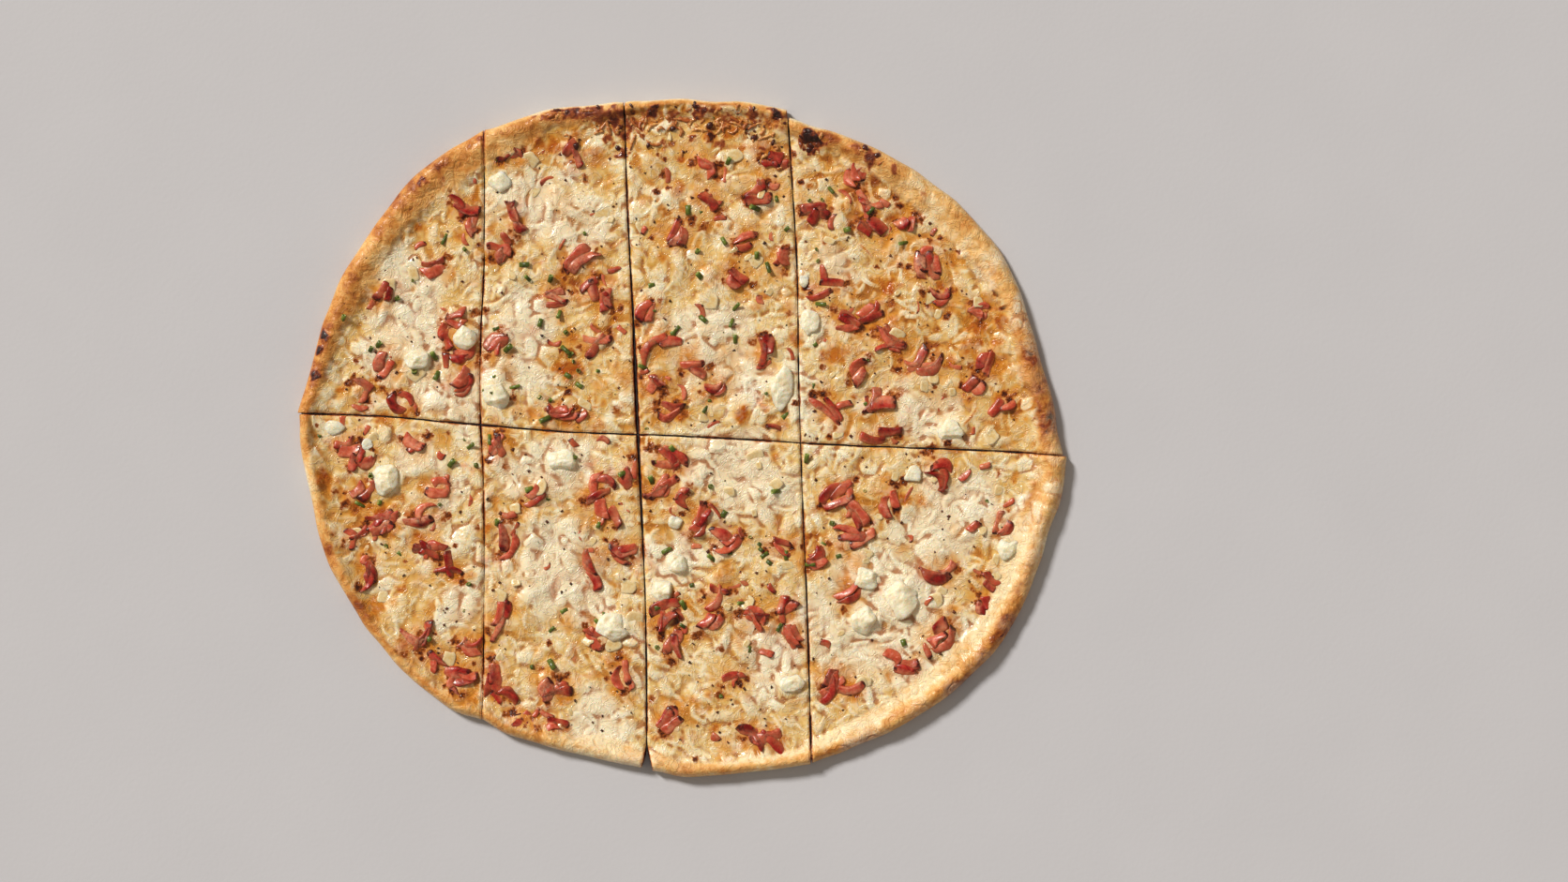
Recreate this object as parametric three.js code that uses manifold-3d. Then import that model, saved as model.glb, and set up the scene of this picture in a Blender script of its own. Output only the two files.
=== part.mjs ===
// A flammkuchen, cut into eight slices that still lie together.
// Millimetres. X runs to the right, Y to the far side and Z up, with the flat underside on Z = 0.
import * as THREE from "three";
import Module from "manifold-3d";

const wasm = await Module();
wasm.setup();

// Driving dimensions of the dough and its topping
const TOPPING_HEIGHT = 4.4;
const WIDEST_HEIGHT = 2.2;
const FOOT_INSET = 1.3;
const RIM_HEIGHT = 7.4;
const CREST_AT = 0.42;
const RIM_UNEVEN = 0.9;
const HALF_CUT = 0.45;
const CELL = 7.4;
const RIM_ROWS = [11, 7.6, 4.8, 2.4, 0.9];
const OUTLINE_STEPS = 64;

// Waves of the topping and the edge: wavelength and height
const BROAD_WAVE = { length: 21, height: 0.55, seed: 3 };
const SMALL_WAVE = { length: 9, height: 0.3, seed: 5 };
const EDGE_WAVE = { length: 13, height: 0.7, seed: 7 };
const RIM_WAVE = { length: 15, seed: 9 };

// Strips of ham and lumps of cream
const STRIP_WIDTH = 3.9;
const STRIP_THICK = 2.5;
const STRIP_SUNK = 0.9;
const STRIP_ROOT = 2.6;
const STRIP_BEND = 0.16;
const STRIP_SIDES = 6;
const STRIP_END = 0.86;
const SHORT_STRIP = 11.5;
const LUMP_RISE = 0.27;
const LUMP_HIGHEST = 3.2;
const LUMP_SUNK = 0.9;
const LUMP_SIDES = 9;
const LUMP_RINGS = [0.42, 0.78, 1.0, 0.8];
const LUMP_LEVELS = [0.9, 0.62, 0.0, -1.1];
const LUMP_UNEVEN = 0.17;
const CLEARANCE = 0.32;

// The long cut crosses the whole width: points in X and Y
const LONG_CUT = [
  [-165, 10.2], [-128, 9], [-99, 6.6], [-50, 2.5], [-17, 1.2],
  [17, -0.2], [49, -2.2], [79, -3.7], [130, -5.6], [165, -8],
];

// The three short cuts: points in Y and X, and how far each gapes beyond the blade's width
const SHORT_CUTS = [
  { points: [[-120, -83], [-64, -82.3], [-13, -82.7], [7, -83.9], [42, -83.7], [73, -82.3], [130, -82.3]],
    gape: [[-120, 0], [120, 0]] },
  { points: [[-140, -14.6], [-75, -15.1], [-28, -17], [11, -18.8], [50, -20.3], [94, -22.6], [140, -24]],
    gape: [[-139, 2.6], [-127, 0.1], [-60, 0], [-20, 0.3], [10, 0.5], [32, 0.5], [60, 0]] },
  { points: [[-135, 53.8], [-70, 52], [-28, 50.2], [26, 48.5], [69, 47.9], [109, 45.6], [136, 43.8]],
    gape: [[-120, 0], [120, 0]] },
];

// Each slice: its row (1 far, -1 near), the short cuts beside it, its outer edge from left to right,
// the rim's width along that edge, the strips of ham as [x, y, turn in degrees, length, width],
// and the lumps of cream as [x, y, length in X, length in Y]
const SLICES = [
  {
    name: "slice_1", row: 1, left: null, right: 0,
    edge: [[-160, 10], [-155.4, 28], [-148, 51], [-137, 75], [-113, 107], [-98, 119.5], [-82.3, 128]],
    rim: [9, 12, 13],
    ham: [
      [-91, 96, -45, 11], [-86, 88, -50, 11], [-103, 72, 25, 10], [-124, 60, 30, 10], [-94, 50, 10, 10],
      [-98, 43, 70, 10], [-91, 35, -20, 10], [-124.5, 30, 75, 11], [-133, 20, -60, 10], [-90, 25, 30, 11],
      [-116, 15, -40, 11],
    ],
    cream: [[-110.5, 33, 10, 8.6], [-90.2, 42, 8.6, 9]],
  },
  {
    name: "slice_2", row: 1, left: 0, right: 1,
    edge: [[-82.3, 128.2], [-60, 135.7], [-42, 138.4], [-24, 139.6]],
    rim: [12, 9, 8],
    ham: [
      [-71, 118, 20, 11, 5], [-45, 118, 90, 9], [-70, 90, 80, 14], [-76, 77, 20, 10], [-43, 73, 25, 15],
      [-38, 62, 55, 12], [-31.5, 57, -60, 12], [-52, 58, 15, 11, 6], [-76.5, 39, 62, 13, 5],
      [-37, 39, 25, 14], [-50, 11, 15, 12, 5],
    ],
    cream: [[-77, 18, 10.5, 13.5]],
  },
  {
    name: "slice_3", row: 1, left: 1, right: 2,
    edge: [[-23.3, 139.8], [-6, 140.8], [12, 140.6], [28, 139.6], [43.6, 136.5]],
    rim: [7, 6.5, 7],
    ham: [
      [10, 113, -35, 12], [38.5, 115, -10, 8, 5], [33, 102, 35, 12], [12.5, 98, -60, 9], [-1, 86, 60, 13, 6],
      [27, 82, 30, 10], [41, 73, 70, 9], [24.5, 66, -15, 11], [-15, 51, 60, 10], [-11, 38, 15, 14, 6],
      [34, 37, 80, 12], [6, 29, 0, 10], [-11, 22, -50, 9], [14, 21, 40, 9], [-5, 12, 0, 11],
    ],
    cream: [[41.6, 20, 9.4, 17]],
  },
  {
    name: "slice_4", row: 1, left: 2, right: null,
    edge: [
      [45.9, 133.4], [67, 126], [83, 119], [99, 110], [114, 98.5], [126, 85], [136, 71],
      [142, 57.5], [148, 36], [153.5, 18], [158.5, -6.6],
    ],
    rim: [8, 12, 11],
    ham: [
      [55, 93.5, 10, 11, 5.5], [73, 108, 80, 9, 7], [76, 98, -50, 12, 6], [77, 88, -15, 10, 5],
      [94, 90, 30, 8], [103, 75, 85, 14, 8], [108, 60, 5, 9], [123, 52, -35, 9], [61, 62, 12, 16],
      [68, 48.5, -30, 13, 5], [79, 53, 40, 12, 6], [87, 40, -35, 14, 6], [98, 31, 20, 15, 6],
      [73.5, 27, 40, 10], [61, 10, -70, 17, 5], [83, 1.5, 0, 14], [82, 15, 15, 12],
      [127, 32, 65, 12], [121, 21, 60, 11], [132, 12, 50, 11],
    ],
    cream: [[111, 2.6, 12, 9.5], [53.2, 47, 7.8, 11]],
  },
  {
    name: "slice_5", row: -1, left: null, right: 0,
    edge: [
      [-159.3, 8], [-158, -10], [-154, -26], [-150, -43], [-141, -64], [-128, -83.3],
      [-112.4, -101], [-97, -112], [-83.1, -117.4],
    ],
    rim: [8, 9, 8],
    ham: [
      [-140, -3, 0, 10], [-134, -8.5, 40, 9, 5], [-111, -2.5, 10, 10], [-134, -22, 35, 11],
      [-126, -35, 10, 13, 7], [-136, -41, 30, 9, 5], [-107, -33, 0, 13], [-102, -21, 20, 10],
      [-106, -46, -40, 10, 5], [-96, -55, -45, 12], [-131, -56, 75, 12, 5], [-112, -85, 35, 13, 6],
      [-104, -92, -40, 10], [-88.5, -86, -15, 9], [-91, -98, 15, 12, 5], [-94, -105, -50, 8],
    ],
    cream: [[-123, -17.5, 9.8, 12.5]],
  },
  {
    name: "slice_6", row: -1, left: 0, right: 1,
    edge: [[-83.1, -117.6], [-73.3, -123.2], [-50, -130.2], [-34.2, -134.1], [-18, -137.4]],
    rim: [8, 8, 7],
    ham: [
      [-77, -4, 88, 12, 5], [-62, -24, 30, 10], [-73, -42, 78, 15], [-35, -22, 40, 15, 6],
      [-31, -30, -70, 12], [-20.5, -13, 80, 10], [-24, -47, -15, 12, 5], [-37.5, -55, 80, 12],
      [-76, -76, 75, 12, 5], [-36, -82, -45, 12], [-24, -98, -75, 13], [-54, -105, 55, 12, 8],
      [-67, -117, 0, 6.5, 5.5], [-56, -120, -5, 10], [-79, -98, 88, 13, 5], [-75, -107, -45, 9],
    ],
    cream: [[-50, -9, 11, 8.6], [-28.3, -79, 12.5, 11]],
  },
  {
    name: "slice_7", row: -1, left: 1, right: 2,
    edge: [[-12, -138.9], [1, -140.8], [14, -140.6], [28, -139.3], [52.6, -136]],
    rim: [8, 7, 7],
    ham: [
      [-5, -9, -30, 17, 6], [-9, -20, 45, 13, 5], [0, -26, 60, 10], [7, -35, 55, 14, 5],
      [19, -42, 15, 12, 5], [43, -44.5, 5, 12], [14, -65, 10, 12], [-7, -74, 60, 14, 5],
      [-3.5, -86, 75, 12, 5], [11, -77, 40, 13], [31, -75.5, -30, 12, 5], [43, -70, 50, 9],
      [46, -82, -60, 12, 6], [21, -101, 25, 10], [-5, -117, 60, 10, 6], [32, -125, -4, 15, 5],
    ],
    cream: [[-2.4, -52, 8.6, 8], [-8.4, -64, 10.5, 8.4], [45.8, -102, 9.4, 8.6]],
  },
  {
    name: "slice_8", row: -1, left: 2, right: null,
    edge: [
      [53.8, -135.4], [67.4, -130.2], [87, -122.4], [106.5, -110.7], [122, -97], [134, -83.3],
      [145.6, -60], [152.7, -40.3], [157.4, -24.6], [160, -7.8],
    ],
    rim: [8, 10, 12],
    ham: [
      [106, -14, -68, 15, 6], [64, -24, 40, 13, 5], [71, -30, -35, 15, 6], [87, -26, 85, 12],
      [70, -42, 20, 15, 5], [56, -50, 45, 10], [133, -36, 85, 10], [107, -55, 0, 13],
      [69, -64, 80, 13], [129, -60, -35, 9], [126, -70, -60, 9], [107, -82, 50, 13, 6],
      [91, -94, -30, 13, 5], [62, -101, 55, 13, 5], [66, -104, -10, 14, 5],
    ],
    cream: [[76, -58.8, 9.8, 9], [91, -66, 17, 17], [75.5, -76, 9, 11], [135.5, -46.5, 9, 8.6]],
  },
];

const DOUGH_COLOUR = 0xdfb573;
const CREAM_COLOUR = 0xf6efdc;

// Mixing steps of the lattice hash
const HASH_X = 374761393;
const HASH_Y = 668265263;
const HASH_SEED = 974634777;
const HASH_MIX = 1274126177;
const FULL_RANGE = 4294967296;

function latticeValue(i, j, seed) {
  let value = Math.imul(i, HASH_X) + Math.imul(j, HASH_Y) + Math.imul(seed, HASH_SEED);
  value = Math.imul(value ^ (value >>> 13), HASH_MIX);
  value ^= value >>> 16;
  return (value >>> 0) / FULL_RANGE;
}

function ease(t) {
  return t * t * (3 - 2 * t);
}

function mix(a, b, t) {
  return a + (b - a) * t;
}

function clamp(value, low, high) {
  return Math.min(high, Math.max(low, value));
}

// Smooth noise between -1 and 1, with hills about one wavelength apart
function noise(x, y, length, seed) {
  const i = Math.floor(x / length);
  const j = Math.floor(y / length);
  const u = ease(x / length - i);
  const v = ease(y / length - j);
  const low = mix(latticeValue(i, j, seed), latticeValue(i + 1, j, seed), u);
  const high = mix(latticeValue(i, j + 1, seed), latticeValue(i + 1, j + 1, seed), u);
  return 2 * mix(low, high, v) - 1;
}

// A smooth line through knots [at, value], with the slopes of a Catmull-Rom spline
function smoothLine(knots, at) {
  const last = knots.length - 1;
  if (at <= knots[0][0]) return knots[0][1];
  if (at >= knots[last][0]) return knots[last][1];
  let k = 0;
  while (knots[k + 1][0] < at) k += 1;
  const [x0, y0] = knots[k];
  const [x1, y1] = knots[k + 1];
  const before = knots[Math.max(0, k - 1)];
  const after = knots[Math.min(last, k + 2)];
  const span = x1 - x0;
  const slope0 = (y1 - before[1]) / (x1 - before[0]);
  const slope1 = (after[1] - y0) / (after[0] - x0);
  const t = (at - x0) / span;
  const bend0 = t * (1 - t) * (1 - t) * span * slope0;
  const bend1 = t * t * (1 - t) * span * slope1;
  return mix(y0, y1, ease(t)) + bend0 - bend1;
}

function longCutY(x, row) {
  return smoothLine(LONG_CUT, x) + row * HALF_CUT;
}

function shortCutX(cut, y, side) {
  const { points, gape } = SHORT_CUTS[cut];
  return smoothLine(points, y) + side * (HALF_CUT + Math.max(0, smoothLine(gape, y)));
}

// Pins the ends of an edge onto the cuts that meet them
function pinnedEdge(slice) {
  const edge = slice.edge.map((point) => [...point]);
  const first = edge[0];
  const last = edge[edge.length - 1];
  if (slice.left === null) first[1] = longCutY(first[0], slice.row);
  else first[0] = shortCutX(slice.left, first[1], 1);
  if (slice.right === null) last[1] = longCutY(last[0], slice.row);
  else last[0] = shortCutX(slice.right, last[1], -1);
  return edge;
}

// Knots of X and Y over the share of the edge's length
function edgeKnots(slice) {
  const edge = pinnedEdge(slice);
  const along = [0];
  for (let k = 1; k < edge.length; k += 1) {
    along.push(along[k - 1] + Math.hypot(edge[k][0] - edge[k - 1][0], edge[k][1] - edge[k - 1][1]));
  }
  const total = along[along.length - 1];
  return { x: edge.map((p, k) => [along[k] / total, p[0]]), y: edge.map((p, k) => [along[k] / total, p[1]]) };
}

// A point of the outer edge, at a share u of its length from the left
function edgePoint(slice, u) {
  const x = smoothLine(slice.knots.x, u);
  const y = smoothLine(slice.knots.y, u);
  const reach = Math.hypot(x, y);
  const fade = Math.min(1, 20 * u, 20 * (1 - u));
  const wave = EDGE_WAVE.height * fade * noise(x, y, EDGE_WAVE.length, EDGE_WAVE.seed);
  return [x + (wave * x) / reach, y + (wave * y) / reach];
}

for (const slice of SLICES) slice.knots = edgeKnots(slice);

// The whole outline as short straight steps, with the rim's width beside each
const outline = SLICES.flatMap((slice) => {
  const steps = [];
  const widths = slice.rim.map((width, k) => [k / 2, width]);
  for (let k = 0; k < OUTLINE_STEPS; k += 1) {
    const from = edgePoint(slice, k / OUTLINE_STEPS);
    const to = edgePoint(slice, (k + 1) / OUTLINE_STEPS);
    steps.push({ from, to, width: smoothLine(widths, k / OUTLINE_STEPS) });
  }
  return steps;
});

// How far a point lies inside the outline, and the rim's width there
function insideOutline(x, y) {
  let best = { depth: Infinity, width: 0 };
  for (const { from, to, width } of outline) {
    const dx = to[0] - from[0];
    const dy = to[1] - from[1];
    const share = clamp(((x - from[0]) * dx + (y - from[1]) * dy) / (dx * dx + dy * dy), 0, 1);
    const depth = Math.hypot(x - from[0] - share * dx, y - from[1] - share * dy);
    if (depth < best.depth) best = { depth, width };
  }
  return best;
}

// Height of the upper surface: a round rim that falls to the gently uneven topping
function topHeight(x, y) {
  const { depth, width } = insideOutline(x, y);
  const topping = TOPPING_HEIGHT
    + BROAD_WAVE.height * noise(x, y, BROAD_WAVE.length, BROAD_WAVE.seed)
    + SMALL_WAVE.height * noise(x, y, SMALL_WAVE.length, SMALL_WAVE.seed);
  const crest = RIM_HEIGHT + RIM_UNEVEN * noise(x, y, RIM_WAVE.length, RIM_WAVE.seed);
  const across = Math.min(1, depth / width);
  if (across < CREST_AT) {
    const rise = Math.sqrt(1 - (1 - across / CREST_AT) ** 2);
    return mix(WIDEST_HEIGHT, crest, rise);
  }
  return mix(crest, topping, ease((across - CREST_AT) / (1 - CREST_AT)));
}

// Keeps a point on its slice's side of the cuts
function keepOnSlice(slice, x, y, margin) {
  const low = slice.left === null ? -Infinity : shortCutX(slice.left, y, 1) + margin;
  const high = slice.right === null ? Infinity : shortCutX(slice.right, y, -1) - margin;
  const kept = clamp(x, low, high);
  const line = longCutY(kept, slice.row) + slice.row * margin;
  return [kept, slice.row > 0 ? Math.max(y, line) : Math.min(y, line)];
}

// Where a short cut meets the long one, on one side of each
function crossing(cut, side, row) {
  let x = shortCutX(cut, 0, side);
  for (let k = 0; k < 4; k += 1) x = shortCutX(cut, longCutY(x, row), side);
  return [x, longCutY(x, row)];
}

// The four sides of a slice as curves of 0 to 1. An end slice has its outer edge as one side,
// and its far side is the single point where that edge meets the short cut.
function sidesOf(slice) {
  const edge = (u) => edgePoint(slice, u);
  const cutSide = (cut, side, end) => {
    const start = crossing(cut, side, slice.row);
    return (t) => {
      const y = mix(start[1], end[1], t);
      return [shortCutX(cut, y, side), y];
    };
  };
  const left = slice.left === null ? edge : cutSide(slice.left, 1, edge(0));
  const right = slice.right === null ? (t) => edge(1 - t) : cutSide(slice.right, -1, edge(1));
  const inner = left(0);
  const outer = right(0);
  const near = (s) => {
    const x = mix(inner[0], outer[0], s);
    return [x, longCutY(x, slice.row)];
  };
  const tip = slice.left === null ? edge(1) : edge(0);
  const far = slice.left === null || slice.right === null ? () => tip : edge;
  return { left, right, near, far };
}

// A point inside the four sides, by transfinite interpolation
function surfacePoint({ left, right, near, far }, s, t) {
  return [0, 1].map((axis) => {
    const across = mix(left(t)[axis], right(t)[axis], s);
    const along = mix(near(s)[axis], far(s)[axis], t);
    const corners = mix(mix(near(0)[axis], near(1)[axis], s), mix(far(0)[axis], far(1)[axis], s), t);
    return across + along - corners;
  });
}

// Even steps of about one cell, then the rim's own rows up to the outer edge at 1
function stopsToRim(length) {
  const plain = Math.round((length - RIM_ROWS[0]) / CELL);
  const share = 1 - RIM_ROWS[0] / length;
  const stops = Array.from({ length: plain }, (_, k) => (share * k) / plain);
  return [...stops, ...RIM_ROWS.map((row) => 1 - row / length), 1];
}

function evenStops(length) {
  const count = Math.round(length / CELL);
  return Array.from({ length: count + 1 }, (_, k) => k / count);
}

function distance(a, b) {
  return Math.hypot(a[0] - b[0], a[1] - b[1]);
}

// Makes the closed body of one slice: the uneven top, the walls and the flat underside
function sliceBody(slice) {
  const sides = sidesOf(slice);
  const middle = slice.left !== null && slice.right !== null;
  const wide = distance(sides.near(0), sides.near(1));
  const long = distance(sides.near(0.5), sides.far(0.5));
  let across = middle ? evenStops(wide) : stopsToRim(wide);
  if (slice.left === null) across = across.map((stop) => 1 - stop).reverse();
  const along = middle ? stopsToRim(long) : evenStops(long);

  const points = [];
  const grid = along.map((t) => across.map((s) => {
    const [x, y] = surfacePoint(sides, s, t);
    const twin = t === 1 && !middle ? points.findIndex((p) => distance(p, [x, y]) < 1e-6) : -1;
    if (twin >= 0) return twin;
    const onEdge = middle ? t === 1 : s === (slice.left === null ? 0 : 1) || t === 1;
    points.push([x, y, onEdge ? WIDEST_HEIGHT : topHeight(x, y)]);
    return points.length - 1;
  }));

  const faces = [];
  const addFace = (a, b, c) => {
    if (a === b || b === c || c === a) return;
    faces.push(slice.row > 0 ? [a, b, c] : [a, c, b]);
  };
  for (let j = 0; j + 1 < along.length; j += 1) {
    for (let i = 0; i + 1 < across.length; i += 1) {
      const [a, b, c, d] = [grid[j][i], grid[j][i + 1], grid[j + 1][i + 1], grid[j + 1][i]];
      addFace(a, b, c);
      addFace(a, c, d);
    }
  }

  const lastRow = along.length - 1;
  const lastColumn = across.length - 1;
  const loop = [
    ...grid[0],
    ...grid.map((row) => row[lastColumn]),
    ...[...grid[lastRow]].reverse(),
    ...grid.map((row) => row[0]).reverse(),
  ].filter((index, k, all) => index !== all[(k + 1) % all.length]);
  const feet = loop.map((index) => {
    const [x, y] = points[index];
    const inset = FOOT_INSET * Math.max(0, 1 - insideOutline(x, y).depth / (2 * FOOT_INSET));
    const share = 1 - inset / Math.hypot(x, y);
    points.push([...keepOnSlice(slice, x * share, y * share, 0), 0]);
    return points.length - 1;
  });
  loop.forEach((index, k) => {
    const next = (k + 1) % loop.length;
    addFace(index, feet[k], feet[next]);
    addFace(index, feet[next], loop[next]);
  });
  const contour = feet.map((index) => new THREE.Vector2(points[index][0], points[index][1]));
  for (const corners of THREE.ShapeUtils.triangulateShape(contour, [])) {
    const faceUp = THREE.ShapeUtils.area(corners.map((k) => contour[k])) > 0;
    const [a, b, c] = corners.map((k) => feet[k]);
    faces.push(faceUp ? [a, c, b] : [a, b, c]);
  }
  return solidFrom(points, faces);
}

function solidFrom(points, faces) {
  const vertProperties = new Float32Array(points.flat());
  const triVerts = new Uint32Array(faces.flat());
  return new wasm.Manifold(new wasm.Mesh({ numProp: 3, vertProperties, triVerts }));
}

// Joins rings of equal length, from one end point to the other, into a closed body
function ringBody(start, rings, end) {
  const sides = rings[0].length;
  const points = [start, ...rings.flat(), end];
  const faces = [];
  const last = points.length - 1;
  for (let k = 0; k < sides; k += 1) {
    const next = (k + 1) % sides;
    faces.push([0, 1 + k, 1 + next]);
    for (let ring = 0; ring + 1 < rings.length; ring += 1) {
      const here = 1 + ring * sides;
      const beyond = here + sides;
      faces.push([here + k, beyond + k, beyond + next], [here + k, beyond + next, here + next]);
    }
    faces.push([last, last - sides + next, last - sides + k]);
  }
  return solidFrom(points, faces);
}

// One bent strip of ham, lying on the topping and a little sunk into it
function hamStrip(slice, [x, y, turn, length, width = STRIP_WIDTH]) {
  const angle = THREE.MathUtils.degToRad(turn);
  const [ux, uy] = [Math.cos(angle), Math.sin(angle)];
  const bend = STRIP_BEND * noise(x, y, SMALL_WAVE.length, SMALL_WAVE.seed) * length;
  const along = (share) => {
    const side = bend * (1 - share * share);
    const reach = (share * length) / 2;
    return keepOnSlice(slice, x + ux * reach - uy * side, y + uy * reach + ux * side, CLEARANCE);
  };
  const lift = (px, py) => topHeight(px, py) + STRIP_THICK / 2 - STRIP_SUNK;
  const stations = length > SHORT_STRIP ? [-STRIP_END, 0, STRIP_END] : [-STRIP_END, STRIP_END];
  const rings = stations.map((share) => {
    const [px, py] = along(share);
    const height = lift(px, py);
    return Array.from({ length: STRIP_SIDES }, (_, k) => {
      const around = -((k + 0.5) / STRIP_SIDES) * 2 * Math.PI;
      const side = (Math.cos(around) * width) / 2;
      const [rx, ry] = keepOnSlice(slice, px - uy * side, py + ux * side, CLEARANCE);
      const reach = Math.sin(around) > 0 ? STRIP_THICK / 2 : STRIP_ROOT;
      return [rx, ry, height + Math.sin(around) * reach];
    });
  });
  const [startX, startY] = along(-1);
  const [endX, endY] = along(1);
  return ringBody([startX, startY, lift(startX, startY)], rings, [endX, endY, lift(endX, endY)]);
}

// One rounded lump of cream, wider than high, whose lower part reaches into the topping
function creamLump(slice, [x, y, lengthX, lengthY]) {
  const height = topHeight(x, y) + LUMP_SUNK;
  const rise = Math.min(LUMP_HIGHEST, LUMP_RISE * Math.min(lengthX, lengthY));
  const rings = LUMP_RINGS.map((ring, level) => Array.from({ length: LUMP_SIDES }, (_, k) => {
    const around = (k / LUMP_SIDES) * 2 * Math.PI;
    const uneven = 1 + LUMP_UNEVEN * (2 * latticeValue(k, Math.round(x), Math.round(y)) - 1);
    const px = x + (ring * uneven * lengthX * Math.cos(around)) / 2;
    const py = y + (ring * uneven * lengthY * Math.sin(around)) / 2;
    return [...keepOnSlice(slice, px, py, CLEARANCE), height + rise * LUMP_LEVELS[level]];
  }));
  return ringBody([x, y, height + rise], rings, [x, y, height + rise * LUMP_LEVELS.at(-1)]);
}

// The largest connected body, without sealed hollows and loose scrap
function largestPart(solid) {
  return solid.decompose().reduce((best, part) => (part.volume() > best.volume() ? part : best));
}

function meshFrom(name, solid, colour, roughness) {
  const { vertProperties, triVerts } = solid.getMesh();
  const geometry = new THREE.BufferGeometry();
  geometry.setAttribute("position", new THREE.BufferAttribute(new Float32Array(vertProperties), 3));
  geometry.setIndex(new THREE.BufferAttribute(new Uint32Array(triVerts), 1));
  geometry.computeVertexNormals();
  const mesh = new THREE.Mesh(geometry, new THREE.MeshStandardMaterial({ color: colour, roughness }));
  mesh.name = name;
  return mesh;
}

const flammkuchen = new THREE.Group();
let lumpNumber = 0;
for (const slice of SLICES) {
  let body = sliceBody(slice);
  for (const row of slice.ham) body = body.add(hamStrip(slice, row));
  body = largestPart(body);
  const lifted = body.translate([0, 0, CLEARANCE]).add(body);
  flammkuchen.add(meshFrom(slice.name, body, DOUGH_COLOUR, 0.65));
  for (const row of slice.cream) {
    lumpNumber += 1;
    const lump = largestPart(creamLump(slice, row).subtract(lifted));
    flammkuchen.add(meshFrom(`cream_${lumpNumber}`, lump, CREAM_COLOUR, 0.4));
  }
}

export default flammkuchen;
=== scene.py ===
import math

import bpy
import numpy as np
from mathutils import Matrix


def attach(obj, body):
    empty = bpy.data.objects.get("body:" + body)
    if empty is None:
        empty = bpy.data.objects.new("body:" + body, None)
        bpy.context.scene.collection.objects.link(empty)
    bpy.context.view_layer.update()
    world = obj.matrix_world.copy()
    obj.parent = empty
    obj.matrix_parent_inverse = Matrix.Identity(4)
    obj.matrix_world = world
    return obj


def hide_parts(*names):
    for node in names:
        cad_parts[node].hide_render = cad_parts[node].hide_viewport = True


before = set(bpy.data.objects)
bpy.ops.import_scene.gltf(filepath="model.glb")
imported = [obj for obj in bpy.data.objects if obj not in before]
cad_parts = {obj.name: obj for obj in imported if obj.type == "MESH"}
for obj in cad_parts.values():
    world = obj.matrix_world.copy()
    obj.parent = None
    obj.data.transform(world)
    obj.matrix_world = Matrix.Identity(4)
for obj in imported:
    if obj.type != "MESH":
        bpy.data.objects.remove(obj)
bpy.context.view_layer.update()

# A flammkuchen in eight slices. Sizes are in millimetres until a mesh is made, then in metres.
MM = 0.001

# The part's own dimensions, as in its source
TOPPING_HEIGHT = 4.4
WIDEST_HEIGHT = 2.2
FOOT_INSET = 1.3
RIM_HEIGHT = 7.4
CREST_AT = 0.42
RIM_UNEVEN = 0.9
HALF_CUT = 0.45
OUTLINE_STEPS = 64
BROAD_WAVE = {"length": 21, "height": 0.55, "seed": 3}
SMALL_WAVE = {"length": 9, "height": 0.3, "seed": 5}
EDGE_WAVE = {"length": 13, "height": 0.7, "seed": 7}
RIM_WAVE = {"length": 15, "seed": 9}
STRIP_WIDTH = 3.9
STRIP_THICK = 2.5
STRIP_SUNK = 0.9
STRIP_BEND = 0.16
LUMP_RISE = 0.27
LUMP_HIGHEST = 3.2
LUMP_SUNK = 0.9
LUMP_SIDES = 9
LUMP_RINGS = [0.42, 0.78, 1.0, 0.8]
LUMP_LEVELS = [0.9, 0.62, 0.0, -1.1]
LUMP_UNEVEN = 0.17
CLEARANCE = 0.32

# Above the first height the fine relief flattens out, so that it stays under the second
FLATTEN_FROM = 7.6
TALLEST = 8.8

# The long cut: points in X and Y
LONG_CUT = [
    [-165, 10.2], [-128, 9], [-99, 6.6], [-50, 2.5], [-17, 1.2],
    [17, -0.2], [49, -2.2], [79, -3.7], [130, -5.6], [165, -8],
]

# The short cuts: points in Y and X, and how far each gapes beyond the blade's width
SHORT_CUTS = [
    {"points": [[-120, -83], [-64, -82.3], [-13, -82.7], [7, -83.9], [42, -83.7], [73, -82.3], [130, -82.3]],
     "gape": [[-120, 0], [120, 0]]},
    {"points": [[-140, -14.6], [-75, -15.1], [-28, -17], [11, -18.8], [50, -20.3], [94, -22.6], [140, -24]],
     "gape": [[-139, 2.6], [-127, 0.1], [-60, 0], [-20, 0.3], [10, 0.5], [32, 0.5], [60, 0]]},
    {"points": [[-135, 53.8], [-70, 52], [-28, 50.2], [26, 48.5], [69, 47.9], [109, 45.6], [136, 43.8]],
     "gape": [[-120, 0], [120, 0]]},
]

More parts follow.
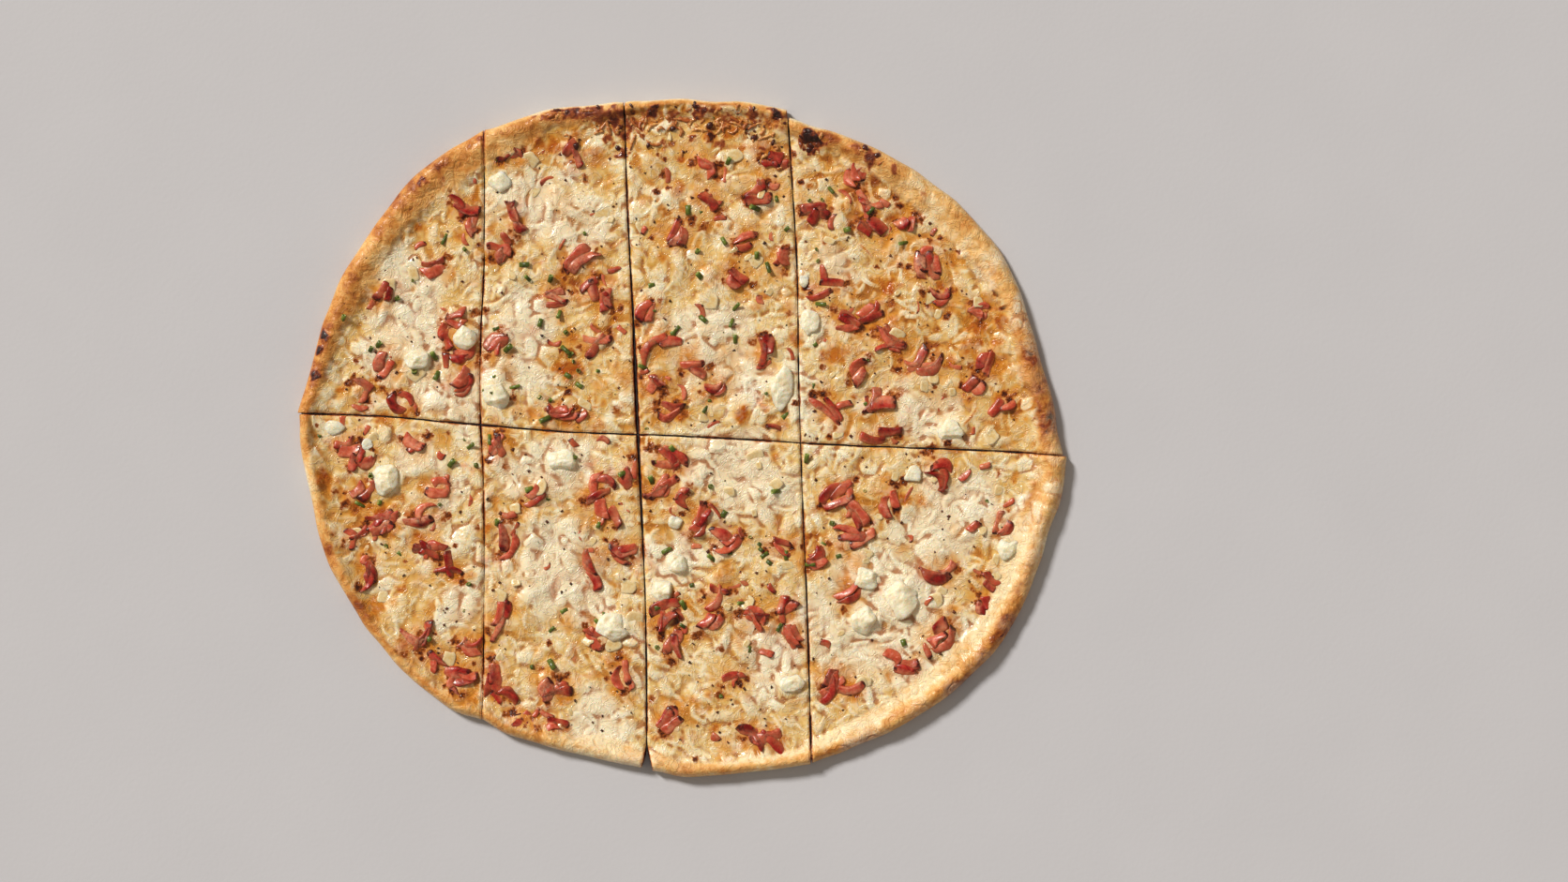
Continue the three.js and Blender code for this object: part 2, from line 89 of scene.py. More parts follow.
# Each slice: row (1 far, -1 near), the short cuts beside it, its outer edge from left to right, the rim's
# width along it, strips of ham as [x, y, turn, length, width], lumps of cream as [x, y, length in X, in Y]
SLICES = [
    {
        "name": "slice_1", "row": 1, "left": None, "right": 0,
        "edge": [[-160, 10], [-155.4, 28], [-148, 51], [-137, 75], [-113, 107], [-98, 119.5], [-82.3, 128]],
        "rim": [9, 12, 13],
        "ham": [
            [-91, 96, -45, 11], [-86, 88, -50, 11], [-103, 72, 25, 10], [-124, 60, 30, 10],
            [-94, 50, 10, 10], [-98, 43, 70, 10], [-91, 35, -20, 10], [-124.5, 30, 75, 11],
            [-133, 20, -60, 10], [-90, 25, 30, 11], [-116, 15, -40, 11],
        ],
        "cream": [[-110.5, 33, 10, 8.6], [-90.2, 42, 8.6, 9]],
    },
    {
        "name": "slice_2", "row": 1, "left": 0, "right": 1,
        "edge": [[-82.3, 128.2], [-60, 135.7], [-42, 138.4], [-24, 139.6]],
        "rim": [12, 9, 8],
        "ham": [
            [-71, 118, 20, 11, 5], [-45, 118, 90, 9], [-70, 90, 80, 14], [-76, 77, 20, 10],
            [-43, 73, 25, 15], [-38, 62, 55, 12], [-31.5, 57, -60, 12], [-52, 58, 15, 11, 6],
            [-76.5, 39, 62, 13, 5], [-37, 39, 25, 14], [-50, 11, 15, 12, 5],
        ],
        "cream": [[-77, 18, 10.5, 13.5]],
    },
    {
        "name": "slice_3", "row": 1, "left": 1, "right": 2,
        "edge": [[-23.3, 139.8], [-6, 140.8], [12, 140.6], [28, 139.6], [43.6, 136.5]],
        "rim": [7, 6.5, 7],
        "ham": [
            [10, 113, -35, 12], [38.5, 115, -10, 8, 5], [33, 102, 35, 12], [12.5, 98, -60, 9],
            [-1, 86, 60, 13, 6], [27, 82, 30, 10], [41, 73, 70, 9], [24.5, 66, -15, 11], [-15, 51, 60, 10],
            [-11, 38, 15, 14, 6], [34, 37, 80, 12], [6, 29, 0, 10], [-11, 22, -50, 9], [14, 21, 40, 9],
            [-5, 12, 0, 11],
        ],
        "cream": [[41.6, 20, 9.4, 17]],
    },
    {
        "name": "slice_4", "row": 1, "left": 2, "right": None,
        "edge": [
            [45.9, 133.4], [67, 126], [83, 119], [99, 110], [114, 98.5], [126, 85], [136, 71],
            [142, 57.5], [148, 36], [153.5, 18], [158.5, -6.6],
        ],
        "rim": [8, 12, 11],
        "ham": [
            [55, 93.5, 10, 11, 5.5], [73, 108, 80, 9, 7], [76, 98, -50, 12, 6], [77, 88, -15, 10, 5],
            [94, 90, 30, 8], [103, 75, 85, 14, 8], [108, 60, 5, 9], [123, 52, -35, 9], [61, 62, 12, 16],
            [68, 48.5, -30, 13, 5], [79, 53, 40, 12, 6], [87, 40, -35, 14, 6], [98, 31, 20, 15, 6],
            [73.5, 27, 40, 10], [61, 10, -70, 17, 5], [83, 1.5, 0, 14], [82, 15, 15, 12],
            [127, 32, 65, 12], [121, 21, 60, 11], [132, 12, 50, 11],
        ],
        "cream": [[111, 2.6, 12, 9.5], [53.2, 47, 7.8, 11]],
    },
    {
        "name": "slice_5", "row": -1, "left": None, "right": 0,
        "edge": [
            [-159.3, 8], [-158, -10], [-154, -26], [-150, -43], [-141, -64], [-128, -83.3],
            [-112.4, -101], [-97, -112], [-83.1, -117.4],
        ],
        "rim": [8, 9, 8],
        "ham": [
            [-140, -3, 0, 10], [-134, -8.5, 40, 9, 5], [-111, -2.5, 10, 10], [-134, -22, 35, 11],
            [-126, -35, 10, 13, 7], [-136, -41, 30, 9, 5], [-107, -33, 0, 13], [-102, -21, 20, 10],
            [-106, -46, -40, 10, 5], [-96, -55, -45, 12], [-131, -56, 75, 12, 5], [-112, -85, 35, 13, 6],
            [-104, -92, -40, 10], [-88.5, -86, -15, 9], [-91, -98, 15, 12, 5], [-94, -105, -50, 8],
        ],
        "cream": [[-123, -17.5, 9.8, 12.5]],
    },
    {
        "name": "slice_6", "row": -1, "left": 0, "right": 1,
        "edge": [[-83.1, -117.6], [-73.3, -123.2], [-50, -130.2], [-34.2, -134.1], [-18, -137.4]],
        "rim": [8, 8, 7],
        "ham": [
            [-77, -4, 88, 12, 5], [-62, -24, 30, 10], [-73, -42, 78, 15], [-35, -22, 40, 15, 6],
            [-31, -30, -70, 12], [-20.5, -13, 80, 10], [-24, -47, -15, 12, 5], [-37.5, -55, 80, 12],
            [-76, -76, 75, 12, 5], [-36, -82, -45, 12], [-24, -98, -75, 13], [-54, -105, 55, 12, 8],
            [-67, -117, 0, 6.5, 5.5], [-56, -120, -5, 10], [-79, -98, 88, 13, 5], [-75, -107, -45, 9],
        ],
        "cream": [[-50, -9, 11, 8.6], [-28.3, -79, 12.5, 11]],
    },
    {
        "name": "slice_7", "row": -1, "left": 1, "right": 2,
        "edge": [[-12, -138.9], [1, -140.8], [14, -140.6], [28, -139.3], [52.6, -136]],
        "rim": [8, 7, 7],
        "ham": [
            [-5, -9, -30, 17, 6], [-9, -20, 45, 13, 5], [0, -26, 60, 10], [7, -35, 55, 14, 5],
            [19, -42, 15, 12, 5], [43, -44.5, 5, 12], [14, -65, 10, 12], [-7, -74, 60, 14, 5],
            [-3.5, -86, 75, 12, 5], [11, -77, 40, 13], [31, -75.5, -30, 12, 5], [43, -70, 50, 9],
            [46, -82, -60, 12, 6], [21, -101, 25, 10], [-5, -117, 60, 10, 6], [32, -125, -4, 15, 5],
        ],
        "cream": [[-2.4, -52, 8.6, 8], [-8.4, -64, 10.5, 8.4], [45.8, -102, 9.4, 8.6]],
    },
    {
        "name": "slice_8", "row": -1, "left": 2, "right": None,
        "edge": [
            [53.8, -135.4], [67.4, -130.2], [87, -122.4], [106.5, -110.7], [122, -97], [134, -83.3],
            [145.6, -60], [152.7, -40.3], [157.4, -24.6], [160, -7.8],
        ],
        "rim": [8, 10, 12],
        "ham": [
            [106, -14, -68, 15, 6], [64, -24, 40, 13, 5], [71, -30, -35, 15, 6], [87, -26, 85, 12],
            [70, -42, 20, 15, 5], [56, -50, 45, 10], [133, -36, 85, 10], [107, -55, 0, 13],
            [69, -64, 80, 13], [129, -60, -35, 9], [126, -70, -60, 9], [107, -82, 50, 13, 6],
            [91, -94, -30, 13, 5], [62, -101, 55, 13, 5], [66, -104, -10, 14, 5],
        ],
        "cream": [[76, -58.8, 9.8, 9], [91, -66, 17, 17], [75.5, -76, 9, 11], [135.5, -46.5, 9, 8.6]],
    },
]

# Seeds of the random draws
SEEDS = {"maps": 20, "ham": 500, "chives": 71, "onion": 81, "burnt": 91, "curls": 93, "pepper": 95}


def draws_for(name, number=0):
    return np.random.default_rng(SEEDS[name] + number)


# Mixing steps of the lattice hash
HASH_X = 374761393
HASH_Y = 668265263
HASH_SEED = 974634777
HASH_MIX = 1274126177
LOW_BITS = 0xFFFFFFFF


def lattice_value(i, j, seed):
    value = np.asarray(i, np.int64) * HASH_X + np.asarray(j, np.int64) * HASH_Y + seed * HASH_SEED
    value = value & LOW_BITS
    value = ((value ^ (value >> 13)) * HASH_MIX) & LOW_BITS
    return (value ^ (value >> 16)) / (LOW_BITS + 1)


def ease(t):
    return t * t * (3 - 2 * t)


def mix(a, b, t):
    return a + (b - a) * t


def step_between(low, high, value):
    return ease(np.clip((value - low) / (high - low), 0, 1))


def noise(x, y, length, seed):
    """Smooth noise between -1 and 1, with hills about one wavelength apart."""
    x = np.asarray(x, float) / length
    y = np.asarray(y, float) / length
    i = np.floor(x).astype(np.int64)
    j = np.floor(y).astype(np.int64)
    u = ease(x - i)
    v = ease(y - j)
    low = mix(lattice_value(i, j, seed), lattice_value(i + 1, j, seed), u)
    high = mix(lattice_value(i, j + 1, seed), lattice_value(i + 1, j + 1, seed), u)
    return 2 * mix(low, high, v) - 1


def layered_noise(x, y, length, seed, layers=3):
    total = 0
    for k in range(layers):
        total = total + noise(x, y, length / 2**k, seed + k) / 2**k
    return total / (2 - 0.5 ** (layers - 1))


def smooth_line(knots, at):
    """A smooth line through knots [at, value], with the slopes of a Catmull-Rom spline."""
    xs, ys = np.asarray(knots, float).T
    last = len(xs) - 1
    k = np.clip(np.searchsorted(xs, at, side="left") - 1, 0, last - 1)
    before = np.maximum(k - 1, 0)
    after = np.minimum(k + 2, last)
    span = xs[k + 1] - xs[k]
    slope0 = (ys[k + 1] - ys[before]) / (xs[k + 1] - xs[before])
    slope1 = (ys[after] - ys[k]) / (xs[after] - xs[k])
    t = np.clip((at - xs[k]) / span, 0, 1)
    bend = t * (1 - t) ** 2 * span * slope0 - t**2 * (1 - t) * span * slope1
    return mix(ys[k], ys[k + 1], ease(t)) + bend


def long_cut_y(x, row):
    return smooth_line(LONG_CUT, x) + row * HALF_CUT


def short_cut_x(cut, y, side):
    """X of a short cut's right (1) or left (-1) side, or of its middle (0)."""
    gape = np.maximum(0, smooth_line(SHORT_CUTS[cut]["gape"], y))
    return smooth_line(SHORT_CUTS[cut]["points"], y) + side * (HALF_CUT + gape)


def edge_knots(piece):
    """Knots of X and Y over the share of the edge's length, with its ends pinned onto the cuts."""
    edge = np.array(piece["edge"], float)
    if piece["left"] is None:
        edge[0, 1] = long_cut_y(edge[0, 0], piece["row"])
    else:
        edge[0, 0] = short_cut_x(piece["left"], edge[0, 1], 1)
    if piece["right"] is None:
        edge[-1, 1] = long_cut_y(edge[-1, 0], piece["row"])
    else:
        edge[-1, 0] = short_cut_x(piece["right"], edge[-1, 1], -1)
    along = np.concatenate([[0], np.cumsum(np.hypot(*np.diff(edge, axis=0).T))])
    along /= along[-1]
    return np.column_stack([along, edge[:, 0]]), np.column_stack([along, edge[:, 1]])


def edge_point(piece, u):
    u = np.asarray(u, float)
    x = smooth_line(piece["knots"][0], u)
    y = smooth_line(piece["knots"][1], u)
    fade = np.minimum(1, np.minimum(20 * u, 20 * (1 - u)))
    wave = EDGE_WAVE["height"] * fade * noise(x, y, EDGE_WAVE["length"], EDGE_WAVE["seed"])
    reach = np.hypot(x, y)
    return x + wave * x / reach, y + wave * y / reach


def whole_outline():
    """Short straight steps round the bread: start points, end points and the rim's width beside each."""
    starts, ends, widths = [], [], []
    for piece in SLICES:
        u = np.arange(OUTLINE_STEPS + 1) / OUTLINE_STEPS
        points = np.column_stack(edge_point(piece, u))
        starts.append(points[:-1])
        ends.append(points[1:])
        widths.append(smooth_line([[k / 2, width] for k, width in enumerate(piece["rim"])], u[:-1]))
    return np.concatenate(starts), np.concatenate(ends), np.concatenate(widths)


for piece in SLICES:
    piece["knots"] = edge_knots(piece)
OUTLINE_FROM, OUTLINE_TO, OUTLINE_WIDTH = whole_outline()

# How near the outline the exact distance to it is worked out, and for how many points at once
RIM_REACH = 30
POINTS_AT_ONCE = 20000


def rough_depth(x, y):
    """Depth inside the outline along the ray from the centre."""
    angles = np.arctan2(OUTLINE_FROM[:, 1], OUTLINE_FROM[:, 0])
    order = np.argsort(angles)
    radii = np.hypot(*OUTLINE_FROM.T)[order]
    return np.interp(np.arctan2(y, x), angles[order], radii, period=2 * math.pi) - np.hypot(x, y)


def inside_outline(x, y):
    """How far points lie inside the outline, and the rim's width there."""
    x, y = np.asarray(x, float), np.asarray(y, float)
    depth = rough_depth(x, y)
    width = np.full(x.shape, 10.0)
    step = OUTLINE_TO - OUTLINE_FROM
    square = (step**2).sum(axis=1)
    near = np.flatnonzero(np.abs(depth.ravel()) < RIM_REACH)
    for first in range(0, len(near), POINTS_AT_ONCE):
        chosen = near[first:first + POINTS_AT_ONCE]
        dx = x.ravel()[chosen, None] - OUTLINE_FROM[:, 0]
        dy = y.ravel()[chosen, None] - OUTLINE_FROM[:, 1]
        share = np.clip((dx * step[:, 0] + dy * step[:, 1]) / square, 0, 1)
        gap = np.hypot(dx - share * step[:, 0], dy - share * step[:, 1])
        best = gap.argmin(axis=1)
        depth.ravel()[chosen] = gap[np.arange(len(chosen)), best]
        width.ravel()[chosen] = OUTLINE_WIDTH[best]
    return depth, width


def top_height(x, y, rim=None):
    """Height of the upper surface: a round rim that falls to the gently uneven topping."""
    depth, width = inside_outline(x, y) if rim is None else rim
    topping = TOPPING_HEIGHT
    for wave in (BROAD_WAVE, SMALL_WAVE):
        topping = topping + wave["height"] * noise(x, y, wave["length"], wave["seed"])
    crest = RIM_HEIGHT + RIM_UNEVEN * noise(x, y, RIM_WAVE["length"], RIM_WAVE["seed"])
    across = np.minimum(1, depth / width)
    rise = np.sqrt(np.maximum(0, 1 - (1 - np.minimum(1, across / CREST_AT)) ** 2))
    outer = mix(WIDEST_HEIGHT, crest, rise)
    inner = mix(crest, topping, ease(np.clip((across - CREST_AT) / (1 - CREST_AT), 0, 1)))
    return np.where(across < CREST_AT, outer, inner)


def flattened(z):
    span = TALLEST - FLATTEN_FROM
    return np.where(z > FLATTEN_FROM, FLATTEN_FROM + span * np.tanh((z - FLATTEN_FROM) / span), z)


def keep_on_slice(piece, x, y, margin):
    """Keeps points on their slice's side of the cuts."""
    if piece["left"] is not None:
        x = np.maximum(x, short_cut_x(piece["left"], y, 1) + margin)
    if piece["right"] is not None:
        x = np.minimum(x, short_cut_x(piece["right"], y, -1) - margin)
    line = long_cut_y(x, piece["row"]) + piece["row"] * margin
    return x, np.maximum(y, line) if piece["row"] > 0 else np.minimum(y, line)


def cut_distance(piece, x, y):
    """How far points lie from the nearest cut."""
    away = np.abs(y - long_cut_y(x, piece["row"]))
    if piece["left"] is not None:
        away = np.minimum(away, np.abs(x - short_cut_x(piece["left"], y, 1)))
    if piece["right"] is not None:
        away = np.minimum(away, np.abs(x - short_cut_x(piece["right"], y, -1)))
    return away


def slice_at(x, y):
    """The slice that a point lies on."""
    row = 1 if y > long_cut_y(x, 0) else -1
    column = sum(x > short_cut_x(cut, y, 0) for cut in range(3))
    return SLICES[int(column) + (0 if row > 0 else 4)]


def has_room(x, y, from_edge, from_cut):
    """Whether a point lies further than that inside the outline and away from the cuts."""
    return rough_depth(x, y) > from_edge and cut_distance(slice_at(x, y), x, y) > from_cut


# Maps of the topping: fine relief and browning, drawn over the whole bread and read by every slice
MAP_CELL = 0.33
MAP_LOW = np.array([-166.0, -147.0])
MAP_SIZE = (1007, 892)
MAP_X, MAP_Y = np.meshgrid(
    MAP_LOW[0] + MAP_CELL * np.arange(MAP_SIZE[0]), MAP_LOW[1] + MAP_CELL * np.arange(MAP_SIZE[1])
)


def read_map(values, x, y):
    """Values of a map at points, with bilinear steps between its cells."""
    u = np.clip((np.asarray(x, float) - MAP_LOW[0]) / MAP_CELL, 0, MAP_SIZE[0] - 1.001)
    v = np.clip((np.asarray(y, float) - MAP_LOW[1]) / MAP_CELL, 0, MAP_SIZE[1] - 1.001)
    i, j = u.astype(int), v.astype(int)
    fu, fv = u - i, v - j
    low = mix(values[j, i], values[j, i + 1], fu)
    high = mix(values[j + 1, i], values[j + 1, i + 1], fu)
    return mix(low, high, fv)


def window(x, y, reach):
    """The part of a map within reach of a point."""
    i = int((x - MAP_LOW[0]) / MAP_CELL)
    j = int((y - MAP_LOW[1]) / MAP_CELL)
    n = int(reach / MAP_CELL) + 2
    return np.s_[max(0, j - n):max(1, j + n), max(0, i - n):max(1, i + n)]


def stamp(values, area, drawn):
    values[area] = np.maximum(values[area], drawn)


def along_and_side(area, x, y, turn):
    """How far the cells of an area lie from a point, along a direction and to its left."""
    dx, dy = MAP_X[area] - x, MAP_Y[area] - y
    return dx * math.cos(turn) + dy * math.sin(turn), dy * math.cos(turn) - dx * math.sin(turn)


def stamp_ridge(values, x, y, turn, length, width, height, bend):
    """A long low ridge with soft sides, as of a melted shred."""
    area = window(x, y, length / 2 + width)
    along, side = along_and_side(area, x, y, turn)
    along = along / (length / 2)
    side = side - bend * length * (1 - along**2)
    ends = np.clip(1 - along**4, 0, 1)
    stamp(values, area, height * ends * np.exp(-((side / (width / 2)) ** 2)))


def stamp_blob(values, x, y, radius, height, seed, ragged=0.35, edge=0.5):
    """A round patch with a ragged outline, full inside and soft over its outer part."""
    area = window(x, y, radius * 1.6)
    dx, dy = MAP_X[area] - x, MAP_Y[area] - y
    reach = np.hypot(dx, dy) / radius
    reach = reach * (1 + ragged * noise(MAP_X[area], MAP_Y[area], radius * 0.7, seed))
    stamp(values, area, height * step_between(1 + edge / 2, 1 - edge / 2, reach))


def soften(values, times):
    for _ in range(times):
        values = (values + np.roll(values, 1, 0) + np.roll(values, -1, 0)) / 3
        values = (values + np.roll(values, 1, 1) + np.roll(values, -1, 1)) / 3
    return values


# Where the topping is browner, from the oven's heat: [x, y, radius, how much]
WARM_PLACES = [
    [-145, 20, 26, 0.6], [-128, 70, 22, 0.35], [-70, 78, 16, 0.2], [-50, 12, 26, 0.45], [-10, 90, 20, 0.35],
    [12, 118, 28, 0.5], [60, 108, 22, 0.4], [85, 88, 26, 0.6], [112, 62, 30, 0.85], [86, 30, 24, 0.5],
    [130, 30, 26, 0.8], [66, 60, 20, 0.45], [-120, -68, 30, 0.6], [-128, -36, 24, 0.4],
    [-76, -30, 20, 0.35], [-50, -112, 26, 0.35], [10, -104, 26, 0.35], [26, -66, 20, 0.25],
    [120, -62, 20, 0.3], [-30, 128, 30, 0.8], [38, 48, 18, 0.25], [-35, 30, 18, 0.4], [0, 22, 16, 0.3],
    [-98, -95, 20, 0.5],
]

# Where smooth cream lies: [x, y, radius]
CREAM_PLACES = [
    [-63, 100, 13], [-48, 92, 12], [-38, 88, 10], [-112, 60, 14], [-108, 40, 14], [-96, 18, 13],
    [-60, 50, 12], [-66, 28, 9], [8, 42, 14], [24, 28, 12], [-50, -10, 14], [-64, -14, 10], [-52, -44, 14],
    [-60, -58, 12], [-40, -68, 11], [-92, -70, 9], [95, -66, 20], [78, -62, 16], [84, -84, 16],
    [70, -90, 12], [104, -38, 14], [56, -74, 10], [36, -92, 13], [-4, -52, 10], [22, -12, 14],
    [36, -22, 12], [8, -14, 8], [-100, -24, 9], [116, -30, 16], [100, -100, 12], [-36, -118, 12],
    [-30, -128, 9], [-110, -8, 8], [100, 8, 11], [-122, 34, 9], [62, 74, 8], [140, -40, 10], [118, -84, 12],
]

# Golden-brown glazed patches, which the material paints deeper in the hollows as shade: [x, y, radius, how
# much]
TOAST_PLACES = [
    [75, 100, 11, 1.0], [105, 73, 8, 1.0], [92, 84, 9, 0.6], [84, 56, 13, 0.75], [98, 40, 11, 0.8],
    [134, 26, 8, 0.85], [124, 48, 12, 0.7], [140, 12, 9, 0.75], [66, 60, 8, 0.6], [-40, 67, 11, 0.95],
    [-30, 48, 9, 0.7], [-46, 30, 8, 0.7], [-42, 9, 9, 0.75], [-15, -20, 13, 0.85], [-75, 37, 6, 0.6],
    [-75, -1, 7, 0.9], [-128, 22, 8, 0.6], [-131, -33, 11, 0.85], [-105, -25, 7, 0.6], [-85, -99, 9, 0.85],
    [-110, -87, 8, 0.9], [-56, -104, 7, 0.8], [-62, -119, 6, 0.8], [-97, -72, 9, 0.5], [-3, -77, 9, 0.75],
    [60, -93, 10, 0.7], [36, -126, 7, 0.8], [3, -115, 6, 0.6], [75, -31, 11, 0.75], [52, -45, 7, 0.8],
    [126, -58, 8, 0.75], [108, -58, 5, 0.6], [74, 6, 10, 0.6], [1, 87, 9, 0.75], [24, 66, 7, 0.6],
    [-80, 98, 7, 0.4], [12, 118, 11, 0.45], [-20, 117, 9, 0.45], [-58, 122, 12, 0.6], [34, 112, 8, 0.45],
    [58, 112, 9, 0.7], [-147, 2, 10, 0.55], [-146, -24, 8, 0.6], [-138, -56, 9, 0.6], [-70, -30, 7, 0.5],
    [-70, -78, 6, 0.7], [-10, 96, 9, 0.5], [-50, 76, 6, 0.4], [10, 26, 7, 0.5], [144, 25, 6, 1.0],
    [-8, 40, 8, 0.6], [36, 36, 6, 0.4], [-92, 30, 7, 0.5], [150, 0, 7, 0.7], [118, 30, 9, 0.6],
    [95, -30, 10, 0.5], [100, -84, 9, 0.5], [132, -34, 9, 0.6], [70, -58, 8, 0.45], [-55, -28, 9, 0.5],
    [-35, -60, 8, 0.5], [-70, -55, 7, 0.5], [-30, -100, 8, 0.5], [-78, 84, 8, 0.5], [-112, 84, 7, 0.4],
]

# How many of each form are drawn in the relief, and their sizes from least to most
MOUND_COUNT = 1250
MOUND_RADIUS = [2.6, 8.5]
MOUND_STRETCH = [0.32, 0.8]
CHIP_COUNT = 170
CHIP_RADIUS = [2, 4.5]
STRING_COUNT = 3000
STRING_LENGTH = [3, 12]
STRING_WIDTH = [0.9, 1.6]
GOLD_COUNT = 340
BROWN_COUNT = 110
BROWN_BESIDE_HAM = 5
BROWN_RADIUS = [0.7, 1.7]
STAINS_BESIDE_HAM = 2
STAIN_RADIUS = [2.5, 6]
PINK_COUNT = 70
PINK_LENGTH = [6, 13]
PINK_WIDTH = [3, 5]

# Half the sizes of the field that they are drawn in, and of the topping
FIELD = [160, 141]
TOPPING = [157, 138]

# Mounds and strings lie roughly along a slowly turning direction
DRIFT = {"length": 46, "seed": 61}


def drift(x, y):
    return math.pi * noise(x, y, DRIFT["length"], DRIFT["seed"])


def spot_within(rng, half):
    return rng.uniform(-half[0], half[0]), rng.uniform(-half[1], half[1])


def random_spot(rng, density):
    """A place on the topping, more likely where the density is high."""
    while True:
        x, y = spot_within(rng, TOPPING)
        if rough_depth(x, y) > 4 and rng.uniform() < read_map(density, x, y):
            return x, y


def warm_map():
    values = 0.16 + 0.14 * layered_noise(MAP_X, MAP_Y, 34, 41)
    for x, y, radius, much in WARM_PLACES:
        values = values + much * np.exp(-(((MAP_X - x) ** 2 + (MAP_Y - y) ** 2) / radius**2))
    return np.clip(values, 0.03, 1)


def blob_map(places, seed, ragged, edge):
    """Ragged round patches at [x, y, radius, how much], the last 1 if left out."""
    values = np.zeros(MAP_X.shape)
    for k, (x, y, radius, *much) in enumerate(places):
        stamp_blob(values, x, y, radius, much[0] if much else 1, seed + k, ragged=ragged, edge=edge)
    return values


def mound_maps(rng, warm):
    """Soft mounds of melted cheese with creases between: height, tint and how brown their crowns are."""
    height, tint, gold, brown = np.zeros((4, *MAP_X.shape))
    for k in range(MOUND_COUNT):
        x, y = spot_within(rng, FIELD)
        radius = rng.uniform(*MOUND_RADIUS)
        area = window(x, y, radius * 1.5)
        turn = drift(x, y) + rng.normal(0, 0.8)
        stretch = rng.uniform(*MOUND_STRETCH)
        along, side = along_and_side(area, x, y, turn)
        reach = np.hypot(along, side / stretch) / radius
        reach = reach * (1 + 0.3 * noise(MAP_X[area], MAP_Y[area], radius, 400 + k))
        drawn = rng.uniform(0.4, 0.6 + 0.12 * radius) * np.maximum(0, 1 - reach**2)
        tint[area] = np.where(drawn > height[area], rng.uniform(-1, 1), tint[area])
        stamp(height, area, drawn)
        heat = float(read_map(warm, x, y))
        if rng.uniform() < 0.16 * heat:
            stamp(gold, area, rng.uniform(0.3, 0.9) * step_between(1.0, 0.1, reach))
            stamp(brown, area, rng.uniform(-2.5, 1) * heat * step_between(0.6, 0.1, reach))
    return height, tint, gold, brown


def chip_maps(rng):
    """Flat angular chips of cheese and onion, each a little tilted: height and tint."""
    height, tint = np.zeros((2, *MAP_X.shape))
    for _ in range(CHIP_COUNT):
        x, y = spot_within(rng, FIELD)
        radius = rng.uniform(*CHIP_RADIUS)
        area = window(x, y, radius * 1.5)
        dx, dy = MAP_X[area] - x, MAP_Y[area] - y
        sides = int(rng.integers(4, 7))
        first = rng.uniform(0, 2 * math.pi)
        reach = np.zeros(dx.shape)
        for k in range(sides):
            turn = first + (k + rng.uniform(-0.3, 0.3)) / sides * 2 * math.pi
            limit = radius * rng.uniform(0.55, 1)
            reach = np.maximum(reach, (dx * math.cos(turn) + dy * math.sin(turn)) / limit)
        level = rng.uniform(0.3, 0.9) + dx * rng.normal(0, 0.11) + dy * rng.normal(0, 0.11)
        drawn = level * step_between(1.15, 0.85, reach)
        tint[area] = np.where(drawn > height[area], rng.uniform(-0.2, 1), tint[area])
        stamp(height, area, drawn)
    return height, tint


def shred_maps(rng, warm):
    """Thin melted strings of cheese, which lie across each other."""
    height, gold, pale = np.zeros((3, *MAP_X.shape))
    for _ in range(STRING_COUNT):
        x, y = spot_within(rng, FIELD)
        turn = drift(x, y) + rng.normal(0, 0.9)
        shape = [x, y, turn, rng.uniform(*STRING_LENGTH), rng.uniform(*STRING_WIDTH)]
        bend = rng.normal(0, 0.12)
        stamp_ridge(height, *shape, rng.uniform(0.15, 0.55), bend)
        stamp_ridge(pale, *shape, rng.uniform(0, 1), bend)
        if rng.uniform() < 0.1 * float(read_map(warm, x, y)):
            stamp_ridge(gold, *shape, rng.uniform(0.4, 1), bend)
    return height, gold, pale


HAM_ROWS = [row for piece in SLICES for row in piece["ham"]]


def ham_map(margin):
    """How close each place is to a strip of ham, from 0 to 1."""
    values = np.zeros(MAP_X.shape)
    for x, y, turn, length, *width in HAM_ROWS:
        wide = width[0] if width else STRIP_WIDTH
        stamp_ridge(values, x, y, math.radians(turn), length + 2 * margin, wide + margin, 1, 0)
    return values


def amber_map(rng):
    """Stains of fat and juice beside the ham."""
    values = np.zeros(MAP_X.shape)
    for x, y, turn, length, *_ in HAM_ROWS:
        for _ in range(STAINS_BESIDE_HAM):
            px, py = x + rng.normal(0, length / 3), y + rng.normal(0, length / 3)
            seed = int(rng.integers(1, 9999))
            radius, much = rng.uniform(*STAIN_RADIUS), rng.uniform(0.2, 0.9)
            stamp_blob(values, px, py, radius, much, seed, ragged=0.6, edge=1.8)
    return soften(values, 2)


def gold_map(rng, warm):
    """Soft round patches where the topping coloured in the heat."""
    values = np.zeros(MAP_X.shape)
    for k in range(GOLD_COUNT):
        x, y = random_spot(rng, warm)
        radius = 1.4 + 3.8 * rng.uniform() ** 1.5
        stamp_blob(values, x, y, radius, rng.uniform(0.35, 1), 1000 + k, ragged=0.6, edge=1.1)
    return soften(values, 3)


def brown_map(rng, warm):
    """Small dark spots, where it is warm and beside the ham."""
    places = [random_spot(rng, warm) for _ in range(BROWN_COUNT)]
    for x, y, turn, length, *_ in HAM_ROWS:
        reach = 0.5 * length * np.array([math.cos(math.radians(turn)), math.sin(math.radians(turn))])
        for side in rng.choice([-1, 1], BROWN_BESIDE_HAM):
            places.append(rng.normal([x, y] + side * reach, 1.6))
    rows = ([x, y, rng.uniform(*BROWN_RADIUS), rng.uniform(0.45, 1)] for x, y in places)
    return blob_map(rows, seed=2000, ragged=0.5, edge=1.2)


def collar_map():
    """How close each place is to a lump of cream, where the topping swells up round its foot."""
    values = np.zeros(MAP_X.shape)
    for piece in SLICES:
        places = [[x, y, (long_x + long_y) / 4 + 1.2] for x, y, long_x, long_y in piece["cream"]]
        values = np.maximum(values, blob_map(places, seed=700, ragged=0.25, edge=0.9))
    return values


